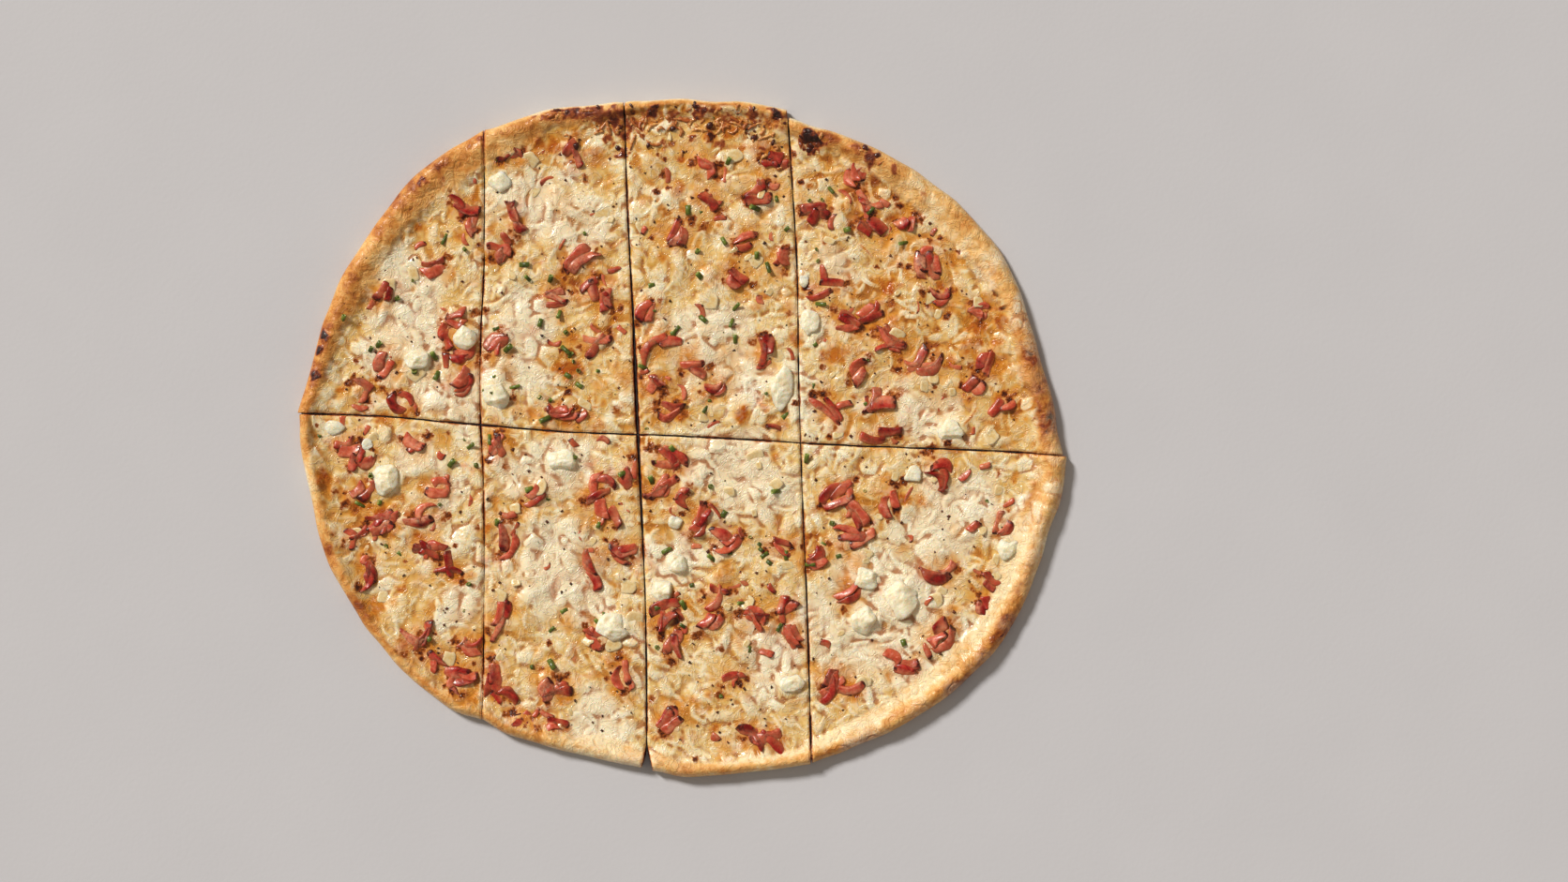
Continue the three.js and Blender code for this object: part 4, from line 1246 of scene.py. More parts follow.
def make_ham(piece, number, material):
    rng = draws_for("ham", number)
    heap = Heap()
    bits = [[x, y] for x, y in SMALL_HAM if slice_at(x, y) is piece]
    for row in piece["ham"]:
        for strip in ham_group(row, rng):
            ham_strip(heap, piece, strip, rng)
        if rng.uniform() < BESIDE_HAM_SHARE:
            bits.append([row[0] + rng.normal(0, BESIDE_HAM_SHIFT), row[1] + rng.normal(0, BESIDE_HAM_SHIFT)])
    for x, y in bits:
        if slice_at(x, y) is piece and has_room(x, y, from_edge=8, from_cut=2.5):
            row = [x, y, rng.uniform(0, 180), rng.uniform(*BIT_LENGTH), rng.uniform(*BIT_WIDTH)]
            ham_strip(heap, piece, row, rng, stations=9, sides=12, thick=rng.uniform(*BIT_THICK))
    return heap.make(f"ham_{number}", material)


# Lumps of cream: their flat broken faces, the tilt of each from level in degrees, and their crumbs
FACET_COUNT = 13
FACET_TILT = [12, 100]
FACET_REACH = [0.64, 1.0]
FURTHEST_REACH = 1.1
CRUMBS = {"height": 0.75, "length": 2.8, "seed": 137}


def lump_profile(steps):
    """Radius and level from the top of a lump to its foot."""
    knots = np.array([[0, 0, 1], *[[k + 1, r, l] for k, (r, l) in enumerate(zip(LUMP_RINGS, LUMP_LEVELS))]])
    at = np.linspace(0, len(LUMP_RINGS), steps)[1:]
    return smooth_line(knots[:, [0, 1]], at), smooth_line(knots[:, [0, 2]], at)


def facets(directions, rng):
    """How far a chunk with flat broken faces reaches in each direction."""
    turn = rng.uniform(0, 2 * math.pi, FACET_COUNT)
    tilt = np.radians(rng.uniform(*FACET_TILT, FACET_COUNT))
    normals = np.column_stack([np.sin(tilt) * np.cos(turn), np.sin(tilt) * np.sin(turn), np.cos(tilt)])
    limits = rng.uniform(*FACET_REACH, FACET_COUNT) / np.maximum(directions @ normals.T, 0.05)
    return np.minimum(limits.min(axis=1), FURTHEST_REACH)


def cream_lump(heap, piece, row, sides=64, steps=30, sunk=LUMP_SUNK, share=LUMP_RISE):
    x, y, length_x, length_y = row
    rng = np.random.default_rng(int(abs(x * 31 + y * 17)) + 5)
    rise = min(LUMP_HIGHEST, share * min(length_x, length_y))
    height = float(top_height(np.array([x]), np.array([y]))[0]) + sunk
    radius, level = lump_profile(steps)
    around = circle(sides)
    corner = np.arange(LUMP_SIDES + 1) % LUMP_SIDES
    uneven = lattice_value(corner, math.floor(x + 0.5), math.floor(y + 0.5)) * 2 - 1
    wave = np.interp(around, np.arange(LUMP_SIDES + 1) / LUMP_SIDES * 2 * math.pi, uneven)
    out = radius[:, None] * (1 + LUMP_UNEVEN * wave[None])
    levels = np.broadcast_to(level[:, None], out.shape)
    offsets = np.stack([out * np.cos(around), out * np.sin(around), levels], axis=-1)
    directions = offsets / np.linalg.norm(offsets, axis=-1, keepdims=True)
    offsets = offsets * facets(directions.reshape(-1, 3), rng).reshape(out.shape)[..., None]
    px = x + offsets[..., 0] * length_x / 2
    py = y + offsets[..., 1] * length_y / 2
    crumbly = CRUMBS["height"] * layered_noise(px + 3 * levels, py, CRUMBS["length"], CRUMBS["seed"], 3)
    pz = height + rise * offsets[..., 2] + crumbly * np.clip(level + 0.3, 0, 1)[:, None]
    px, py = keep_on_slice(piece, px, py, CLEARANCE)
    top = np.array([x, y, pz[0].mean()])
    foot = np.array([x, y, pz[-1].mean()])
    points = np.concatenate([top[None], np.stack([px, py, pz], axis=-1).reshape(-1, 3), foot[None]])
    above = points[:, 2] - read_map(HEIGHT, points[:, 0], points[:, 1])
    heap.add(points, ring_faces(len(radius), sides), veil=step_between(0.9, 0.0, above))


def make_cream(material):
    number = 0
    for piece in SLICES:
        for row in piece["cream"]:
            number += 1
            heap = Heap()
            cream_lump(heap, piece, row)
            thing = heap.make(f"cream_lump_{number}", material)
            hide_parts(f"cream_{number}")


# Small bits of cream: how far inside the edge and how deep they lie, their height for their size, and
# their places: [x, y, length in X, length in Y]
BITS_FROM_EDGE = 12
BITS_SUNK = 0.1
BITS_RISE = 0.15
CREAM_BITS = [
    [-3, -35, 7, 5.5], [96, -15.6, 7, 7], [-145, 4, 9, 6], [-131, -3, 5.5, 5], [-76.5, -118.5, 9, 6],
    [-40.5, -121.6, 5, 4], [-76, 106, 9, 8.6], [50.6, 65.3, 4.4, 5.5],
]


def make_cream_bits(material):
    heap = Heap()
    for row in CREAM_BITS:
        if rough_depth(*row[:2]) > BITS_FROM_EDGE:
            cream_lump(heap, slice_at(*row[:2]), row, sides=24, steps=12, sunk=BITS_SUNK, share=BITS_RISE)
    return heap.make("cream_bits", material)


# Chives: how many are added beside the places in the picture, how far from them, and their sizes
CHIVES_BESIDE_THOSE_SEEN = 12
CHIVE_SHIFT = 7
CHIVE_SIDES = 14
CHIVE_RADIUS = [0.7, 1.15]
CHIVE_HOLLOW = [0.6, 0.75]
CHIVE_SHORT_SHARE = 0.45
CHIVE_SHORT = [0.8, 1.8]
CHIVE_LONG = [2.2, 5.0]
CHIVE_LIES_FROM = 2.4
CHIVE_BOW = 0.06
CHIVE_SUNK = [0.3, 1.0]

# Rings of a stalk: outside (1) or in its hollow (0), share of its length, how much they look like its inside
CHIVE_RINGS = [
    [0, -0.5, 1.0], [1, -0.5, 0.2], [1, 0, 0.0], [1, 0.5, 0.2], [0, 0.5, 1.0], [0, 0, 1.0], [0, -0.5, 1.0],
]


def chive(heap, x, y, rng):
    """A short piece of a hollow stalk, lying or leaning."""
    outer = rng.uniform(*CHIVE_RADIUS)
    inner = outer * rng.uniform(*CHIVE_HOLLOW)
    length = rng.uniform(*(CHIVE_SHORT if rng.uniform() < CHIVE_SHORT_SHARE else CHIVE_LONG))
    squash = rng.uniform(0.5, 0.95)
    lean = rng.uniform(0.9, 1.57) if length > CHIVE_LIES_FROM else rng.uniform(0.1, 1.4)
    turn = rng.uniform(0, 2 * math.pi)
    around = circle(CHIVE_SIDES)
    rings = []
    for outside, at, _ in CHIVE_RINGS:
        radius = outer if outside else inner
        bow = CHIVE_BOW * length * (1 - 4 * at * at)
        thick = radius * squash * np.cos(around) + bow
        rings.append(np.column_stack([thick, radius * np.sin(around), np.full(CHIVE_SIDES, at * length)]))
    local = np.concatenate(rings)
    cosine, sine = math.cos(lean), math.sin(lean)
    along = local[:, 0] * cosine + local[:, 2] * sine
    up = -local[:, 0] * sine + local[:, 2] * cosine
    points = np.column_stack([*turned(x, y, along, local[:, 1], turn), up])
    ground = float(read_map(HEIGHT, x, y))
    points[:, 2] += ground - points[:, 2].min() - rng.uniform(*CHIVE_SUNK)
    inside = np.repeat([ring[2] for ring in CHIVE_RINGS], CHIVE_SIDES)
    faces = ring_faces(len(CHIVE_RINGS), CHIVE_SIDES, closed=False)
    heap.add(points, faces, inside=inside, tone=rng.uniform(0, 1))


# Chives, by their places in the picture
CHIVE_PLACES = [
    [546, 158], [531, 171], [475, 256], [517, 267], [517, 292], [560, 283], [588, 298], [624, 250],
    [441, 300], [425, 319], [530, 351], [597, 336], [577, 345], [604, 355], [543, 372], [368, 341],
    [397, 373], [405, 368], [349, 374], [464, 380], [443, 397], [467, 401], [609, 379], [617, 396],
    [638, 396], [606, 401], [528, 402], [550, 413], [522, 418], [576, 424], [514, 447], [672, 294],
    [695, 305], [698, 332], [718, 357], [686, 392], [683, 413], [680, 432], [690, 457], [734, 225],
    [748, 227], [761, 126], [777, 173], [805, 223], [828, 213], [772, 258], [744, 269], [807, 273],
    [819, 286], [746, 295], [782, 300], [785, 328], [750, 341], [780, 345], [784, 362], [753, 436],
    [817, 420], [838, 443], [857, 433], [923, 431], [869, 368], [867, 413], [925, 384], [850, 307],
    [870, 267], [872, 279], [875, 325], [863, 215], [903, 246], [928, 226], [963, 260], [886, 204],
    [839, 245], [341, 467], [397, 507], [503, 476], [483, 494], [513, 518], [523, 469], [385, 538],
    [406, 536], [470, 538], [413, 582], [427, 591], [501, 623], [496, 651], [458, 680], [514, 702],
    [565, 522], [585, 532], [531, 557], [611, 487], [600, 463], [625, 462], [665, 505], [639, 560],
    [602, 651], [589, 671], [644, 655], [637, 663], [568, 711], [589, 708], [694, 739], [695, 512],
    [718, 480], [700, 493], [758, 519], [772, 548], [800, 573], [711, 587], [759, 595], [779, 590],
    [815, 592], [838, 592], [827, 524], [860, 489], [853, 512], [887, 558], [878, 580], [894, 593],
    [857, 563], [864, 602], [922, 524], [950, 479], [1052, 534], [790, 643], [738, 624], [703, 647],
    [729, 645], [728, 667], [701, 690], [687, 638], [831, 669], [799, 692], [769, 742], [963, 685],
    [612, 386], [604, 374], [722, 352], [820, 600], [811, 586], [681, 400], [684, 424],
]

# Millimetres in a pixel, and the middle of the bread in the picture
PIXEL = 0.391
PART_CENTRE = [727.5, 467]


def from_picture(px, py):
    return (px - PART_CENTRE[0]) * PIXEL, (PART_CENTRE[1] - py) * PIXEL


def make_chives(material):
    rng = draws_for("chives")
    heap = Heap()
    places = [from_picture(*place) for place in CHIVE_PLACES]
    for k in rng.integers(0, len(places), CHIVES_BESIDE_THOSE_SEEN):
        x, y = places[k]
        places.append((x + rng.normal(0, CHIVE_SHIFT), y + rng.normal(0, CHIVE_SHIFT)))
    for x, y in places:
        if has_room(x, y, from_edge=5, from_cut=1.4):
            chive(heap, x, y, rng)
    return heap.make("chives", material)


# Onion: how many bits, half the field they lie in, and their sizes
ONION_COUNT = 80
ONION_FIELD = [148, 130]
ONION_SIZE = [3, 7.5]
ONION_THICK = 0.6
ONION_LIFT = [-0.2, 0.25]
ONION_SIDES = 16

# Rings of a bit from its top down: share of its size, share of its thickness, how much they show its rim
ONION_RINGS = [[0.5, 0.42, 0.0], [0.84, 0.5, 0.7], [1.0, 0.1, 1.0], [1.0, -0.1, 1.0], [0.8, -0.5, 0.0]]


def onion_bit(heap, x, y, rng):
    """A thin bent slab with four soft corners."""
    size, lift, tone = rng.uniform(*ONION_SIZE), rng.uniform(*ONION_LIFT), rng.uniform(0, 1)
    around = circle(ONION_SIDES)
    corner = (np.cos(around) ** 4 + np.sin(around) ** 4) ** -0.25
    corner = corner * (1 + 0.14 * noise(around * 2, 0 * around, 0.9, int(abs(x * 7 + y * 13))))
    stretch = rng.uniform(0.5, 1)
    turn = rng.uniform(0, 2 * math.pi)
    tilt_x, tilt_y = rng.normal(0, 0.16, 2)
    curl = rng.normal(0, 0.09)
    rings = []
    for share, level, _ in ONION_RINGS:
        a = share * size / 2 * corner * np.cos(around)
        b = share * size / 2 * stretch * corner * np.sin(around)
        height = level * ONION_THICK + tilt_x * a + tilt_y * b + curl * a * a / size
        rings.append(np.column_stack([*turned(x, y, a, b, turn), height]))
    points = capped(rings)
    points[:, 2] += float(read_map(HEIGHT, x, y)) + lift
    rim = np.concatenate([[0], np.repeat([ring[2] for ring in ONION_RINGS], ONION_SIDES), [0]])
    heap.add(points, ring_faces(len(ONION_RINGS), ONION_SIDES), rim=rim, tone=tone)


def make_onion(material):
    rng = draws_for("onion")
    heap = Heap()
    added = 0
    while added < ONION_COUNT:
        x, y = spot_within(rng, ONION_FIELD)
        if has_room(x, y, from_edge=12, from_cut=3.8):
            onion_bit(heap, x, y, rng)
            added += 1
    return heap.make("onion_bits", material)


# Curls and burnt lumps along the far rim: how many lie in the scorched band, the X it runs over, their sizes
CURLS_IN_BAND = 120
CURL_BAND = [-58, 44]
CURL_LENGTH = [3, 8]
CURL_RADIUS = [0.4, 0.75]
CURL_FROM_EDGE = 1.6
CURL_FROM_CUT = 0.8
LUMPS_IN_BAND = 34
LUMP_BAND = [-60, 44]
BURNT_SIZE = [0.9, 2.2]
BURNT_LEVELS = np.radians([60, 25, -10, -50])
BURNT_UNEVEN = 0.22


def curl(heap, x, y, rng, stations=9, sides=7):
    """A short curled strand with a round section."""
    length, radius, tone = rng.uniform(*CURL_LENGTH), rng.uniform(*CURL_RADIUS), rng.uniform(0, 1)
    heading = rng.uniform(0, 2 * math.pi) + rng.normal(0, 1.7) * np.linspace(-0.5, 0.5, stations)
    step = length / (stations - 1)
    px = x + np.cumsum(np.cos(heading)) * step
    py = y + np.cumsum(np.sin(heading)) * step
    px, py = px - px.mean() + x, py - py.mean() + y
    near_cut = cut_distance(slice_at(x, y), px, py).min() < CURL_FROM_CUT
    if near_cut or (rough_depth(px, py) < CURL_FROM_EDGE).any():
        return
    share = np.linspace(-1, 1, stations)
    thick = radius * np.sqrt(1.04 - share**4) * (1 + 0.2 * rng.normal(size=stations))
    pz = read_map(HEIGHT, px, py) + radius * 0.5 + 0.3 * rng.uniform(0, 1) * np.cos(share * 3)
    around = -circle(sides)
    across, up = np.cos(around), np.sin(around)
    rings = np.stack([
        px[:, None] - np.sin(heading)[:, None] * across * thick[:, None],
        py[:, None] + np.cos(heading)[:, None] * across * thick[:, None],
        pz[:, None] + up * thick[:, None],
    ], axis=-1)
    heap.add(capped(rings), ring_faces(stations, sides), tone=tone)


def burnt_lump(heap, x, y, rng, size, sides=10):
    """A small rough lump of burnt cheese or onion, longer than wide."""
    tone = rng.uniform(0, 0.35)
    around = circle(sides)
    turn, stretch = rng.uniform(0, math.pi), rng.uniform(0.45, 0.9)
    rings = []
    for level in BURNT_LEVELS:
        rough_a, rough_b = rng.uniform(-BURNT_UNEVEN, BURNT_UNEVEN, (2, sides))
        a = size / 2 * math.cos(level) * np.cos(around) * (1 + rough_a)
        b = size / 2 * stretch * math.cos(level) * np.sin(around) * (1 + rough_b)
        up = 0.3 * size * math.sin(level) * (1 + rng.uniform(-0.2, 0.2, sides))
        rings.append(np.column_stack([*turned(x, y, a, b, turn), up]))
    points = capped(rings)
    points[:, 2] += float(read_map(HEIGHT, x, y)) + 0.1 * size
    heap.add(points, ring_faces(len(BURNT_LEVELS), sides), tone=tone)


# Burnt lumps along the far rim, by their places in the picture: [x, y, size in millimetres]
BURNT_PLACES = [
    [582, 118, 4.5], [595, 120, 3.5], [575, 117, 3], [588, 114, 2.5], [606, 122, 2.5], [639, 117, 3],
    [650, 131, 3], [667, 120, 3.4], [674, 115, 2.6], [661, 137, 3.4], [665, 146, 3], [659, 159, 2.6],
    [710, 110, 2.8], [742, 114, 3.4], [718, 138, 3], [757, 135, 3.4], [804, 118, 2.4], [826, 121, 3.4],
    [829, 127, 3.4], [804, 148, 3.2], [824, 153, 3], [692, 156, 3.2], [729, 163, 1.8], [822, 171, 3],
    [829, 174, 3], [615, 157, 3.4], [637, 135, 2.4], [858, 150, 4], [866, 155, 4.4], [869, 146, 3.6],
    [855, 146, 3], [863, 160, 3.4], [922, 160, 3], [934, 168, 3], [910, 152, 2.4],
]


def make_burnt(material):
    rng = draws_for("burnt")
    heap = Heap()
    places = [[*from_picture(px, py), size] for px, py, size in BURNT_PLACES]
    for x in rng.uniform(*LUMP_BAND, LUMPS_IN_BAND):
        y = float(smooth_line(SCORCHED_LINE, x)) + rng.normal(-1, 2)
        places.append([x, y, rng.uniform(*BURNT_SIZE)])
    for x, y, size in places:
        if has_room(x, y, from_edge=1.5, from_cut=0.5 * size):
            burnt_lump(heap, x, y, rng, size)
    return heap.make("burnt_bits", material)


def make_curls(material):
    """Curled shreds of browned cheese and onion along the far rim and round its burnt lumps."""
    rng = draws_for("curls")
    heap = Heap()
    places = [rng.normal(from_picture(px, py), 0.7 * size) for px, py, size in BURNT_PLACES]
    for x in rng.uniform(*CURL_BAND, CURLS_IN_BAND):
        places.append([x, float(smooth_line(SCORCHED_LINE, x)) - 1.5 + rng.normal(0, 3)])
    for x, y in places:
        if has_room(x, y, from_edge=2, from_cut=1.2):
            curl(heap, x, y, rng)
    return heap.make("curls", material)


# Pepper: how many grains, and half the field they lie in
SPECK_COUNT = 620
SPECK_FIELD = [156, 138]


def speck(heap, x, y, rng, size, **values):
    """A tiny angular grain."""
    points = rng.normal(0, 1, (6, 3)) * 0.25 + np.array([
        [1, 0, 0], [-1, 0, 0], [0, 1, 0], [0, -1, 0], [0, 0, 1], [0, 0, -1],
    ])
    points = points * size / 2 * [1, 1, 0.7] + [x, y, float(read_map(HEIGHT, x, y)) + size * 0.2]
    faces = [[0, 2, 4], [2, 1, 4], [1, 3, 4], [3, 0, 4], [2, 0, 5], [1, 2, 5], [3, 1, 5], [0, 3, 5]]
    heap.add(points, faces, **values)


def make_specks(material):
    rng = draws_for("pepper")
    heap = Heap()
    added = 0
    while added < SPECK_COUNT:
        x, y = spot_within(rng, SPECK_FIELD)
        if has_room(x, y, from_edge=4, from_cut=0.9) and rng.uniform() <= 0.35 + float(read_map(WARM, x, y)):
            speck(heap, x, y, rng, 0.6 + 1.1 * rng.uniform() ** 2, tone=rng.uniform(0, 1))
            added += 1
    return heap.make("pepper", material)


# Materials
def linear(*colour):
    """A colour of 0 to 255 in red, green and blue as linear light, and no transparency."""
    return (*(((c / 255 + 0.055) / 1.055) ** 2.4 if c > 10 else c / 255 / 12.92 for c in colour), 1)


CHEESE_PALE = linear(255, 244, 216)
CHEESE_BASE = linear(240, 207, 140)
CHEESE_DEEP = linear(218, 168, 80)
# Painted shade colour for the cheese's creases and low places
CREASE_SHADE = linear(168, 88, 12)
CREAM_WHITE = linear(255, 246, 224)
GOLD_LIGHT = linear(226, 154, 50)
GOLD_DEEP = linear(178, 82, 14)
TOAST_GOLD = linear(214, 144, 58)
TOAST_BROWN = linear(150, 70, 18)
BROWN_EDGE = linear(190, 98, 26)
BROWN_SPOT = linear(70, 22, 6)
# The char colours, which also paint the shade in the slits of the cuts and along their lips
CHAR_GOLD = linear(210, 130, 60)
CHAR_BROWN = linear(160, 80, 38)
CHAR_RED = linear(106, 42, 24)
CHAR_DARK = linear(44, 16, 12)
HAM_VEIL = linear(224, 134, 98)
HAM_STAIN = linear(202, 104, 46)
CRUST_PALE = linear(252, 228, 184)
CRUST_LIGHT = linear(236, 186, 114)
CRUST_GOLD = linear(212, 142, 64)
CRUST_BROWN = linear(156, 76, 20)
CRUST_DARK = linear(82, 34, 10)
FLOUR_WHITE = linear(246, 228, 200)
CRUMB_PALE = linear(240, 212, 160)
UNDER_TAN = linear(208, 154, 88)
UNDER_BROWN = linear(134, 76, 34)
HAM_PALE = linear(228, 134, 112)
HAM_PINK = linear(194, 60, 46)
HAM_RED = linear(160, 22, 18)
HAM_DARK = linear(94, 6, 4)
HAM_FAT = linear(236, 164, 128)
HAM_RIND_AND_SHADE = linear(78, 8, 4)
HAM_FILM = linear(218, 124, 80)
HAM_CHAR = linear(66, 16, 12)
LUMP_LIGHT = linear(255, 248, 228)
LUMP_WARM = linear(250, 236, 206)
LUMP_DEEP = linear(238, 210, 164)
CHIVE_DARK = linear(42, 56, 10)
CHIVE_GREEN = linear(72, 88, 20)
CHIVE_LIGHT = linear(122, 138, 52)
CHIVE_INSIDE = linear(150, 160, 76)
ONION_PALE = linear(240, 214, 164)
ONION_GOLD = linear(226, 186, 122)
ONION_RIM = linear(250, 234, 200)

# Burnt bits: their lighter and darker colour, and how rough they are at least
BURNT_LOOKS = {
    "burnt": [linear(150, 70, 40), linear(62, 20, 14), 0.15],
    "crisp": [linear(250, 196, 118), linear(168, 84, 34), 0.12],
    "pepper": [linear(138, 62, 20), linear(52, 20, 8), 0.5],
}


class Graph:
    """A material's node tree, with short calls for the nodes that it uses."""

    def __init__(self, name):
        self.material = bpy.data.materials.new(name)
        self.material.use_nodes = True
        self.nodes = self.material.node_tree.nodes
        self.links = self.material.node_tree.links
        self.shader = self.nodes["Principled BSDF"]
        self.place = self.nodes.new("ShaderNodeTexCoord").outputs["Object"]

    def attribute(self, name):
        node = self.nodes.new("ShaderNodeAttribute")
        node.attribute_name = name
        return node.outputs["Fac"]

    def noise(self, size, detail=3.0, rough=0.55, warp=0.0):
        """Noise whose features are about this many millimetres wide."""
        node = self.nodes.new("ShaderNodeTexNoise")
        node.inputs["Scale"].default_value = 1 / (size * MM)
        node.inputs["Detail"].default_value = detail
        node.inputs["Roughness"].default_value = rough
        node.inputs["Distortion"].default_value = warp
        self.links.new(self.place, node.inputs["Vector"])
        return node.outputs["Fac"]

    def put(self, value, socket):
        if isinstance(value, (int, float, tuple)):
            socket.default_value = value
        else:
            self.links.new(value, socket)

    def maths(self, kind, a, b=0.0, clamp=False):
        node = self.nodes.new("ShaderNodeMath")
        node.operation = kind
        node.use_clamp = clamp
        self.put(a, node.inputs[0])
        self.put(b, node.inputs[1])
        return node.outputs[0]

    def times(self, a, b, clamp=False):
        return self.maths("MULTIPLY", a, b, clamp)

    def plus(self, a, b):
        return self.maths("ADD", a, b)

    def spread(self, value, low, high, to_low=0.0, to_high=1.0):
        """A value eased from one range to another."""
        node = self.nodes.new("ShaderNodeMapRange")
        node.interpolation_type = "SMOOTHSTEP"
        ranges = {"From Min": low, "From Max": high, "To Min": to_low, "To Max": to_high}
        for label, number in ranges.items():
            node.inputs[label].default_value = number
        self.put(value, node.inputs["Value"])
        return node.outputs["Result"]

    def cloud(self, size, detail, *ranges, rough=0.55, warp=0.0):
        """Noise eased from one range to another."""
        return self.spread(self.noise(size, detail, rough, warp), *ranges)

    def patchy(self, name, size, detail, *ranges):
        """An attribute broken up by noise, from 0 to 1."""
        return self.times(self.attribute(name), self.cloud(size, detail, *ranges), True)

    def blend(self, factor, a, b):
        node = self.nodes.new("ShaderNodeMix")
        node.data_type = "RGBA"
        self.put(factor, node.inputs["Factor"])
        self.put(a, node.inputs[6])
        self.put(b, node.inputs[7])
        return node.outputs[2]

    def ramp(self, value, stops):
        node = self.nodes.new("ShaderNodeValToRGB")
        band = node.color_ramp
        while len(band.elements) < len(stops):
            band.elements.new(0.5)
        for element, (at, colour) in zip(band.elements, stops):
            element.position = at
            element.color = colour
        self.put(value, node.inputs["Fac"])
        return node.outputs["Color"]

    def bump(self, *layers):
        """Fine relief from noise, each layer a (height source, depth in millimetres)."""
        normal = None
        for source, depth in layers:
            node = self.nodes.new("ShaderNodeBump")
            node.inputs["Distance"].default_value = depth * MM
            node.inputs["Strength"].default_value = 1.0
            self.put(source, node.inputs["Height"])
            if normal is not None:
                self.links.new(normal, node.inputs["Normal"])
            normal = node.outputs["Normal"]
        self.put(normal, self.shader.inputs["Normal"])

    def surface(self, colour, rough, *layers, **values):
        """Gives the material its colour, roughness, layers of relief and the shader's other values."""
        self.put(colour, self.shader.inputs["Base Color"])
        self.put(rough, self.shader.inputs["Roughness"])
        self.bump(*layers)
        for label, value in values.items():
            self.shader.inputs[label.replace("_", " ")].default_value = value
        return self.material


def cheese_colour(g, strings):
    """Shreds of cheese, painted paler where they stand up as highlight and painted darker between as shade,
    with thin white strings over them.
    """
    broad = g.cloud(11, 3, 0.25, 0.75, -0.16, 0.16, rough=0.6, warp=0.6)
    small = g.cloud(2.2, 3, 0.25, 0.75, -0.12, 0.12, rough=0.6)
    tint = g.times(g.attribute("tint"), -0.12)
    shade = g.plus(g.plus(broad, small), g.plus(tint, 0.5))
    cheese = g.ramp(shade, [(0.28, CHEESE_PALE), (0.5, CHEESE_BASE), (0.74, CHEESE_DEEP)])
    # Painted highlight: places that stand up are made paler
    colour = g.blend(g.spread(g.attribute("lift"), 0.45, 0.85, 0.0, 0.5), cheese, CHEESE_PALE)
    colour = g.blend(g.times(g.attribute("white"), 0.6), colour, CREAM_WHITE)
    colour = g.blend(g.spread(strings, 0.05, 0.0, 0.0, 0.35), colour, CREAM_WHITE)
    # Painted shade: creases and low places are darkened towards the crease shade colour
    colour = g.blend(g.spread(g.attribute("lift"), 0.46, 0.04, 0.0, 0.8), colour, CREASE_SHADE)
    return g.blend(g.spread(g.attribute("pale"), 0.4, 0.8, 0.0, 0.35), colour, CREAM_WHITE)


def browned(g, colour, fine):
    """Cheese under its toasted glaze, whose hollows are darkened as painted shade, with ham juice, golden
    patches and brown spots.
    """
    glaze = g.times(g.attribute("toast"), g.cloud(6, 2, 0.35, 0.65, 0.2, 1.15, rough=0.5))
    # Painted shade: the glaze deepens where the relief sinks
    glaze = g.times(glaze, g.spread(g.attribute("lift"), 0.7, 0.3, 0.3, 1.1), True)
    toasted = g.ramp(glaze, [(0.1, CHEESE_DEEP), (0.5, TOAST_GOLD), (1.0, TOAST_BROWN)])
    colour = g.blend(g.spread(glaze, 0.0, 0.7), colour, toasted)
    colour = g.blend(g.patchy("pink", 3.5, 2, 0.35, 0.65, 0.0, 0.85), colour, HAM_VEIL)
    colour = g.blend(g.patchy("stain", 4, 3, 0.35, 0.65, 0.0, 0.8), colour, HAM_STAIN)
    shade = g.patchy("gold", 3, 2, 0.3, 0.7, 0.85, 1.1)
    golden = g.ramp(shade, [(0.15, CHEESE_DEEP), (0.55, GOLD_LIGHT), (1.0, GOLD_DEEP)])
    colour = g.blend(g.patchy("gold", 4, 2, 0.35, 0.65, 0.8, 1.3), colour, golden)
    spots = g.times(g.attribute("brown"), g.spread(fine, 0.35, 0.65, 0.5, 1.1), True)
    spotted = g.ramp(spots, [(0.15, BROWN_EDGE), (0.75, BROWN_SPOT)])
    return g.blend(g.spread(spots, 0.0, 0.4), colour, spotted)


def crusted(g, colour, fine):
    """Bare crust outside the topping, with its flour, and pale crumb on the walls of the cuts."""
    close = g.cloud(3.2, 4, 0.25, 0.75, -0.14, 0.14, rough=0.6)
    wide = g.cloud(9, 3, 0.3, 0.7, -0.12, 0.12, rough=0.6, warp=0.8)
    crust = g.ramp(g.plus(g.attribute("bake"), g.plus(close, wide)), [
        (0.0, CRUST_PALE), (0.3, CRUST_LIGHT), (0.58, CRUST_GOLD), (0.84, CRUST_BROWN), (1.0, CRUST_DARK),
    ])
    colour = g.blend(g.attribute("crust"), colour, crust)
    powder = g.times(g.attribute("flour"), g.spread(fine, 0.35, 0.6, 0.35, 1.0), True)
    colour = g.blend(powder, colour, FLOUR_WHITE)
    crumb = g.blend(g.cloud(1.3, 4, 0.35, 0.7, rough=0.7), CRUMB_PALE, CRUST_LIGHT)
    return g.blend(g.attribute("crumb"), colour, crumb)


def charred(g, colour):
    """The nearly black places, the painted shade on the cut walls and lips, and the baked underside."""
    scorch = g.patchy("char", 3, 2, 0.35, 0.6, 0.6, 1.2)
    burnt = g.ramp(scorch, [(0.2, CHAR_GOLD), (0.42, CHAR_BROWN), (0.66, CHAR_RED), (1.0, CHAR_DARK)])
    colour = g.blend(g.spread(scorch, 0.05, 0.45), colour, burnt)
    under = g.blend(g.cloud(14, 5, 0.45, 0.75, rough=0.65, warp=1.0), UNDER_TAN, UNDER_BROWN)
    return g.blend(g.attribute("under"), colour, under)


